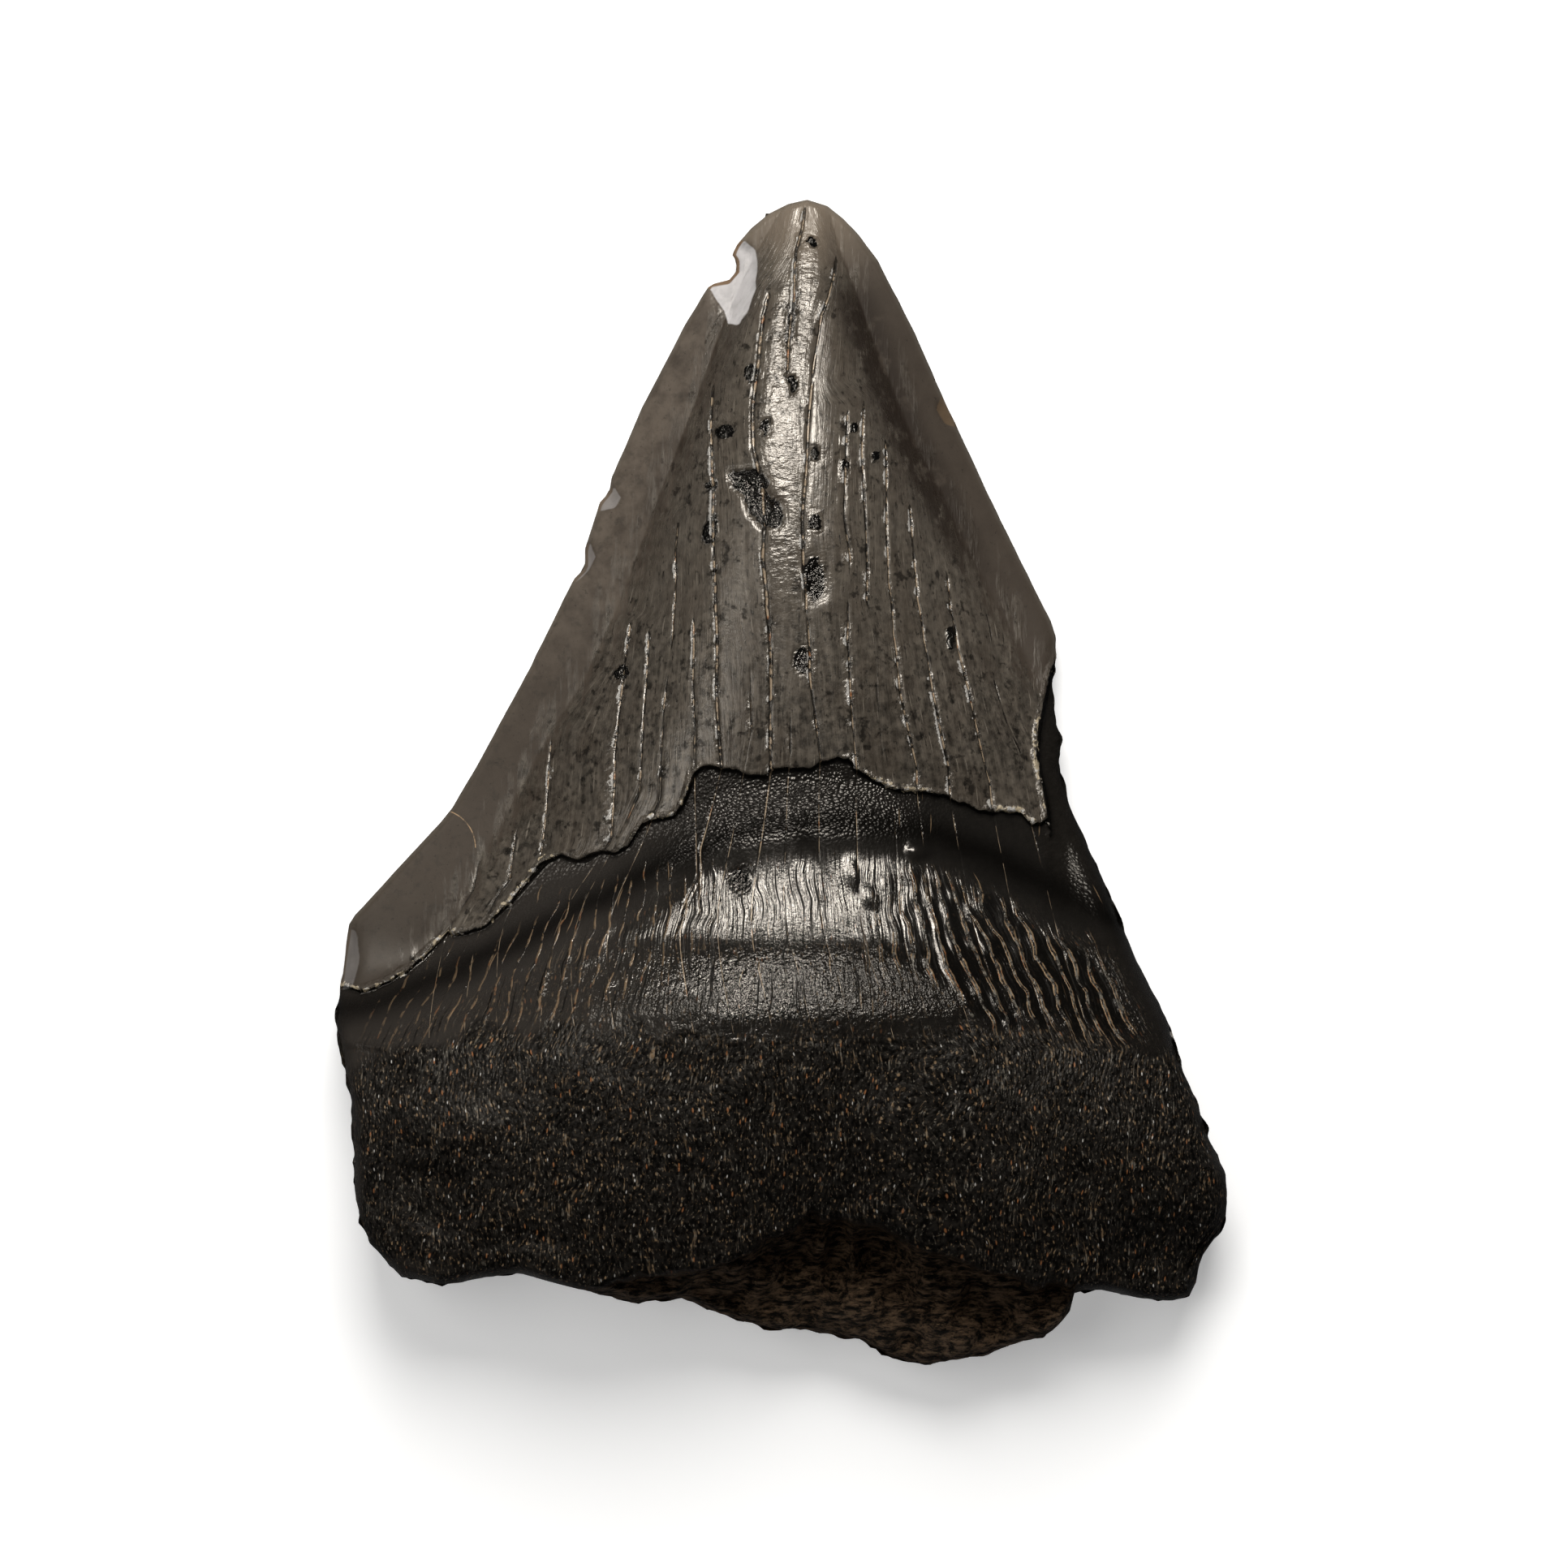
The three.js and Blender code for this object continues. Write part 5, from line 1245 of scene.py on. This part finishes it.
    dull = times(margin, enamel)
    dull_root = graph.maths("MAXIMUM", mask["rough"], graph.maths("MAXIMUM", mask["facet"], mask["broken"]))
    dull_root = graph.maths("MAXIMUM", graph.maths("MAXIMUM", dull_root, hair), times(mask["leather"], 0.65))
    right_flank = times(graph.ramp(up[0], 0.0235, 0.0255), graph.ramp(up[1], -0.014, -0.011))
    left_flank = graph.ramp(up[0], -0.034, -0.037)
    dull_root = graph.maths("MAXIMUM", graph.maths("MAXIMUM", dull_root, right_flank), mask["neck"])
    dull_root = graph.maths("MAXIMUM", dull_root, left_flank)
    crown_gloss = graph.between(broad_streak, 0.68, 0.5)
    crown_gloss = graph.between(mask["hammer"], crown_gloss, graph.between(mottle, 0.3, 0.6))
    crown_gloss = graph.between(times(smudge, 0.8), crown_gloss, 0.15)
    gloss = graph.between(dull, graph.between(enamel, 0.56, crown_gloss), 0.2)
    gloss = graph.between(pit_share, gloss, 0.75)
    low_right = times(graph.ramp(up[1], -0.0135, -0.0155), graph.ramp(up[0], -0.002, 0.008))
    low_left = times(graph.ramp(up[1], -0.019, -0.0205), graph.ramp(up[0], -0.005, -0.009))
    low_side = graph.maths("MAXIMUM", times(low_right, 0.65), times(low_left, 0.8))
    gloss = graph.between(times(low_side, dentine), gloss, 0.1)
    gloss = graph.between(times(dull_root, dentine), gloss, 0.1)

    blade_height = graph.maths("MULTIPLY", fine(0.6, 2.0, 17.0), 0.012)
    body_height = graph.total(
        graph.maths("MULTIPLY", fine_streak, 0.014), graph.maths("MULTIPLY", broad_streak, 0.014),
        graph.maths("MULTIPLY", fine(0.4, 3.0, 13.0), 0.03),
    )
    beaten = graph.noise(graph.scaled(place, (0.65, 1.3, 1.0)), 1 / (0.9 * MM), 3.5, 0.6, 22.0)
    crown_height = graph.total(
        graph.between(margin, body_height, blade_height), times(beaten, mask["hammer"], 0.16),
        times(fine(0.4, 2.0, 23.0), mask["lip"], 0.3),
    )
    pebble = graph.cells(graph.scaled(strand, (0.8, 1.0, 1.0)), 1 / (0.28 * MM))
    between_ridges = times(mask["bulge"], less(times(mask["ridge"], 0.8)))
    skin_height = graph.total(
        times(fine(0.3, 2.0, 14.0), 0.02), times(pebble, mask["leather"], -0.11),
        times(streak(strand, 0.35, 20.0, 6.0), between_ridges, 0.06), times(fine(0.22, 2.0, 49.0), between_ridges, 0.028),
        times(graph.maths("ADD", fine(0.35, 2.0, 46.0), fine(0.9, 2.0, 51.0)), between_ridges, low_band, 0.17),
    )
    rough_height = graph.total(
        graph.maths("MULTIPLY", graph.cells(graph.scaled(strand, (1.0, 0.45, 1.0)), 1 / (0.3 * MM)), -0.13),
        graph.maths("MULTIPLY", fine(0.2, 3.0, 15.0), 0.07),
    )
    ridge_height = times(ridges.outputs["Height"], graph.maths("ADD", fine(0.35, 3.0, 24.0), 0.3), mask["ridge"], 0.14)
    in_middle = graph.ramp(graph.maths("ABSOLUTE", up[0]), 0.02, 0.01)
    beaded = times(mask["rough"], less(mask["rough"]), in_middle, 4.0)
    root_height = graph.total(
        graph.between(mask["rough"], skin_height, rough_height), ridge_height,
        times(wood, mask["broken"], 1.1), times(fine(0.8, 2.0, 36.0), beaded, 0.22),
    )
    height = graph.total(
        graph.between(enamel, root_height, crown_height), times(fine(0.7, 3.0, 25.0), mask["pit"], 0.75),
        times(fine(0.4, 3.0, 37.0), near_edge, 0.3),
    )
    bump = graph.add("ShaderNodeBump", {"Height": height, "Strength": 1.0, "Distance": MM})

    shader = graph.add("ShaderNodeBsdfPrincipled", {
        "Base Color": colour, "Roughness": shine, "Normal": bump.outputs[0], "IOR": 1.56,
        "Specular Tint": tone(SPECULAR_TINT), "Specular IOR Level": gloss,
    })
    output = graph.add("ShaderNodeOutputMaterial")
    graph.tree.links.new(shader.outputs[0], output.inputs["Surface"])
    return material


def length_property(name, description, default_mm):
    return bpy.props.FloatProperty(name=name, description=description, default=default_mm * MM, min=0, unit="LENGTH")


def power_property(name, description, watts):
    return bpy.props.FloatProperty(name=name, description=description, default=watts, min=0, unit="POWER")


def colour_property(name, description, default):
    return bpy.props.FloatVectorProperty(
        name=name, description=description, default=default, size=3, min=0, max=1, subtype="COLOR"
    )


class ToothSizes(bpy.types.PropertyGroup):
    """Sizes of the tooth's relief. The outline is fixed by the solid."""

    crown_thickness: length_property("Crown thickness", "Thickness on the ridge where the enamel ends", 16.6)
    root_thickness: length_property("Root thickness", "Thickness at the crest of the root's bulge", 23.2)
    enamel_step: length_property("Enamel step", "How far the enamel stands proud of the neck", 0.55)
    groove_depth: length_property("Groove depth", "Hollow of the neck between crown and bulge", 0.3)
    ledge_drop: length_property("Ledge drop", "Broken step from the root's inner face to the ledge", 4.2)
    crack_depth: length_property("Crack scale", "Depth of a crack whose listed depth is 1", 1.0)
    grain_depth: length_property("Grain depth", "Height of the root's grain", 0.02)
    pore_depth: length_property("Pore depth", "Depth of the root's pores", 0.015)
    ridge_depth: length_property("Ridge depth", "Height of the growth ridges on the bulge", 0.12)
    seed: bpy.props.FloatProperty(name="Seed", description="Seed of the weathering", default=7.0)


class ToothColours(bpy.types.PropertyGroup):
    """Colours of the fossil, as linear values."""

    crown_dark: colour_property("Crown dark", "Dark streaks of the enamel", (0.016, 0.0135, 0.0105))
    # Also the colour of the painted light on the upper crown.
    crown_light: colour_property("Crown light", "Light streaks of the enamel", (0.112, 0.094, 0.073))
    crown_brown: colour_property("Crown brown", "Brown clouds in the enamel", (0.048, 0.036, 0.026))
    margin: colour_property("Margin", "Smooth blade margins", (0.09, 0.071, 0.054))
    margin_dark: colour_property("Margin dark", "Dark mottling of the margins", (0.040, 0.030, 0.022))
    tip: colour_property("Tip", "Pale tip of the crown", (0.15, 0.119, 0.088))
    # A brown tint of the right blade together with its painted shade.
    margin_brown_and_shade: colour_property("Margin brown", "The right blade margin", (0.036, 0.027, 0.020))
    # Also the colour of the painted highlight along the crown's outline.
    rim: colour_property("Enamel rim", "Pale broken rim of the enamel", (0.14, 0.12, 0.095))
    bevel: colour_property("Bevel", "Worn bevel along the side of the root", (0.040, 0.034, 0.029))
    fleck_grey: colour_property("Grey fleck", "Pale grains in the root", (0.30, 0.27, 0.22))
    root_black: colour_property("Root black", "Darkest tone of the root", (0.0042, 0.0037, 0.0031))
    root_grey: colour_property("Root grey", "Lightest tone of the root's skin", (0.013, 0.0112, 0.0093))
    # Also the black of painted shade along the neck groove and below the enamel's step.
    pore_black_and_shade: colour_property("Pore black", "Black of pores, pits and open cracks", (0.0015, 0.0013, 0.0011))
    fleck_tan: colour_property("Tan fleck", "Mineral in pores and cracks", (0.36, 0.24, 0.135))
    fleck_orange: colour_property("Orange fleck", "Rusty mineral in pores and cracks", (0.34, 0.14, 0.055))
    # The colour of the painted shade beside the blade borders.
    painted_valley_shade: colour_property("Valley", "Dark clouds along the borders of the blades", (0.018, 0.0125, 0.009))
    crown_pale: colour_property("Crown pale", "Thin pale streaks of the enamel", (0.17, 0.145, 0.115))
    crack_tan: colour_property("Crack tan", "Mineral in the cracks of the enamel", (0.30, 0.225, 0.15))
    # Also the colour of painted glints on the crack lips, the cavity's rim and the rough root.
    flake_and_glint: colour_property("Flake", "White flakes along the cracks", (0.42, 0.40, 0.37))
    crumb: colour_property("Enamel crumb", "Crumbling edge of the enamel", (0.34, 0.28, 0.19))
    break_brown: colour_property("Break brown", "Spongy broken root", (0.15, 0.096, 0.057))
    chip: colour_property("Chip", "Fresh pale break in the enamel", (0.46, 0.44, 0.435))
    chip_brown: colour_property("Chip brown", "Older break on the right blade", (0.1, 0.065, 0.036))
    chip_grey: colour_property("Chip grey", "Shaded part of the fresh break", (0.37, 0.355, 0.35))


class StageSettings(bpy.types.PropertyGroup):
    """The floor, the lights and the camera."""

    key_power: power_property("Key light", "Large soft light from the tip's side", 4.4)
    spark_power: power_property("Spark light", "Small light for the glints", 4.4)
    edge_power: power_property("Edge light", "Low light from the left, for the flanks and crack lips", 0.5)
    side_power: power_property("Side light", "Weak light from the left", 0.9)
    surround: bpy.props.FloatProperty(
        name="Surround", description="Brightness of the studio around the tooth", default=0.04, min=0
    )
    floor_glow: bpy.props.FloatProperty(
        name="Floor glow", description="Light given off by the floor itself", default=0.35, min=0
    )
    frame_width: length_property("Frame width", "Width of the picture at the tooth", 147.7)
    camera_distance: length_property("Camera distance", "Height of the camera above the floor", 1000)


class MESH_OT_fossil_tooth(bpy.types.Operator):
    """Make the finished fossil tooth in place of the solid"""

    bl_idname = "mesh.fossil_tooth"
    bl_label = "Fossil tooth"

    def execute(self, context):
        sizes = context.scene.tooth_sizes
        material = fossil_material(context.scene.tooth_colours)
        tooth = weathered(tooth_mesh(sizes), sizes, material)
        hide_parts("tooth")
        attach(tooth, "root")
        return {"FINISHED"}


def add_area_light(name, place, target, size, power, colour):
    light = bpy.data.lights.new(name, "AREA")
    light.shape = "RECTANGLE"
    light.size, light.size_y = size
    light.energy = power
    light.color = colour
    lamp = bpy.data.objects.new(name, light)
    bpy.context.scene.collection.objects.link(lamp)
    lamp.location = place
    lamp.rotation_euler = (Vector(target) - Vector(place)).to_track_quat("-Z", "Y").to_euler()
    return lamp


class SCENE_OT_fossil_stage(bpy.types.Operator):
    """Make the pale floor, the soft lights and the camera that looks straight down"""

    bl_idname = "scene.fossil_stage"
    bl_label = "Fossil stage"

    def execute(self, context):
        scene = context.scene
        stage = scene.fossil_stage
        self.add_floor(scene)
        key = self.add_lamp("key_light", stage.key_power, 88, 46, 0.6, (0.34, 0.42), (1, 0.985, 0.96))
        key.visible_glossy = False
        spark = self.add_lamp("spark_light", stage.spark_power, 93, 50, 0.6, (0.3, 0.13), (1, 0.975, 0.94))
        spark.visible_diffuse = False
        edge = self.add_lamp("edge_light", stage.edge_power, 172, 42, 0.6, (0.2, 0.2), (1, 0.98, 0.95))
        edge.visible_diffuse = False
        side = self.add_lamp("side_light", stage.side_power, 168, 62, 0.6, (0.34, 0.3), (1, 0.99, 0.97))
        side.visible_glossy = False
        world = bpy.data.worlds.new("studio")
        world.use_nodes = True
        background = world.node_tree.nodes["Background"]
        background.inputs["Color"].default_value = (1, 1, 1, 1)
        background.inputs["Strength"].default_value = stage.surround
        scene.world = world
        scene.view_settings.view_transform = "Standard"
        self.add_camera(scene, stage)
        return {"FINISHED"}

    def add_lamp(self, name, power, azimuth, height, distance, size, colour):
        """Soft light aimed at the tooth. azimuth: degrees around from +X. height: degrees above the floor."""
        turn, lift = math.radians(azimuth), math.radians(height)
        flat = distance * math.cos(lift)
        place = (flat * math.cos(turn), flat * math.sin(turn), distance * math.sin(lift))
        return add_area_light(name, place, (0, 0, 0.01), size, power, colour)

    def add_floor(self, scene):
        reach = 1.5
        mesh = bpy.data.meshes.new("floor")
        corners = [(-reach, -reach, 0), (reach, -reach, 0), (reach, reach, 0), (-reach, reach, 0)]
        mesh.from_pydata(corners, [], [(0, 1, 2, 3)])
        floor = bpy.data.objects.new("floor", mesh)
        scene.collection.objects.link(floor)
        material = bpy.data.materials.new("pale_floor")
        material.use_nodes = True
        shader = material.node_tree.nodes["Principled BSDF"]
        shader.inputs["Base Color"].default_value = (0.92, 0.92, 0.92, 1)
        shader.inputs["Roughness"].default_value = 0.9
        shader.inputs["Specular IOR Level"].default_value = 0.1
        shader.inputs["Emission Color"].default_value = (1, 1, 1, 1)
        shader.inputs["Emission Strength"].default_value = scene.fossil_stage.floor_glow
        mesh.materials.append(material)
        floor.visible_glossy = False

    def add_camera(self, scene, stage):
        camera = bpy.data.cameras.new("camera")
        camera.sensor_width = 36
        camera.lens = camera.sensor_width * (stage.camera_distance - 5 * MM) / stage.frame_width
        camera.clip_end = 20
        eye = bpy.data.objects.new("camera", camera)
        scene.collection.objects.link(eye)
        eye.location = (0.2 * MM, -0.2 * MM, stage.camera_distance)
        scene.camera = eye


class VIEW3D_PT_fossil_tooth(bpy.types.Panel):
    """Sidebar panel with the tooth's sizes and colours"""

    bl_label = "Fossil tooth"
    bl_space_type = "VIEW_3D"
    bl_region_type = "UI"
    bl_category = "Fossil tooth"

    def draw(self, context):
        for group in (context.scene.tooth_sizes, context.scene.tooth_colours, context.scene.fossil_stage):
            box = self.layout.box()
            for name in group.__annotations__:
                box.prop(group, name)
        self.layout.operator(MESH_OT_fossil_tooth.bl_idname)
        self.layout.operator(SCENE_OT_fossil_stage.bl_idname)


CLASSES = (ToothSizes, ToothColours, StageSettings, MESH_OT_fossil_tooth, SCENE_OT_fossil_stage, VIEW3D_PT_fossil_tooth)


def register():
    for cls in CLASSES:
        bpy.utils.register_class(cls)
    bpy.types.Scene.tooth_sizes = bpy.props.PointerProperty(type=ToothSizes)
    bpy.types.Scene.tooth_colours = bpy.props.PointerProperty(type=ToothColours)
    bpy.types.Scene.fossil_stage = bpy.props.PointerProperty(type=StageSettings)


def unregister():
    del bpy.types.Scene.fossil_stage
    del bpy.types.Scene.tooth_colours
    del bpy.types.Scene.tooth_sizes
    for cls in reversed(CLASSES):
        bpy.utils.unregister_class(cls)


def main():
    register()
    bpy.ops.scene.fossil_stage()
    bpy.ops.mesh.fossil_tooth()


if __name__ == "__main__":
    main()
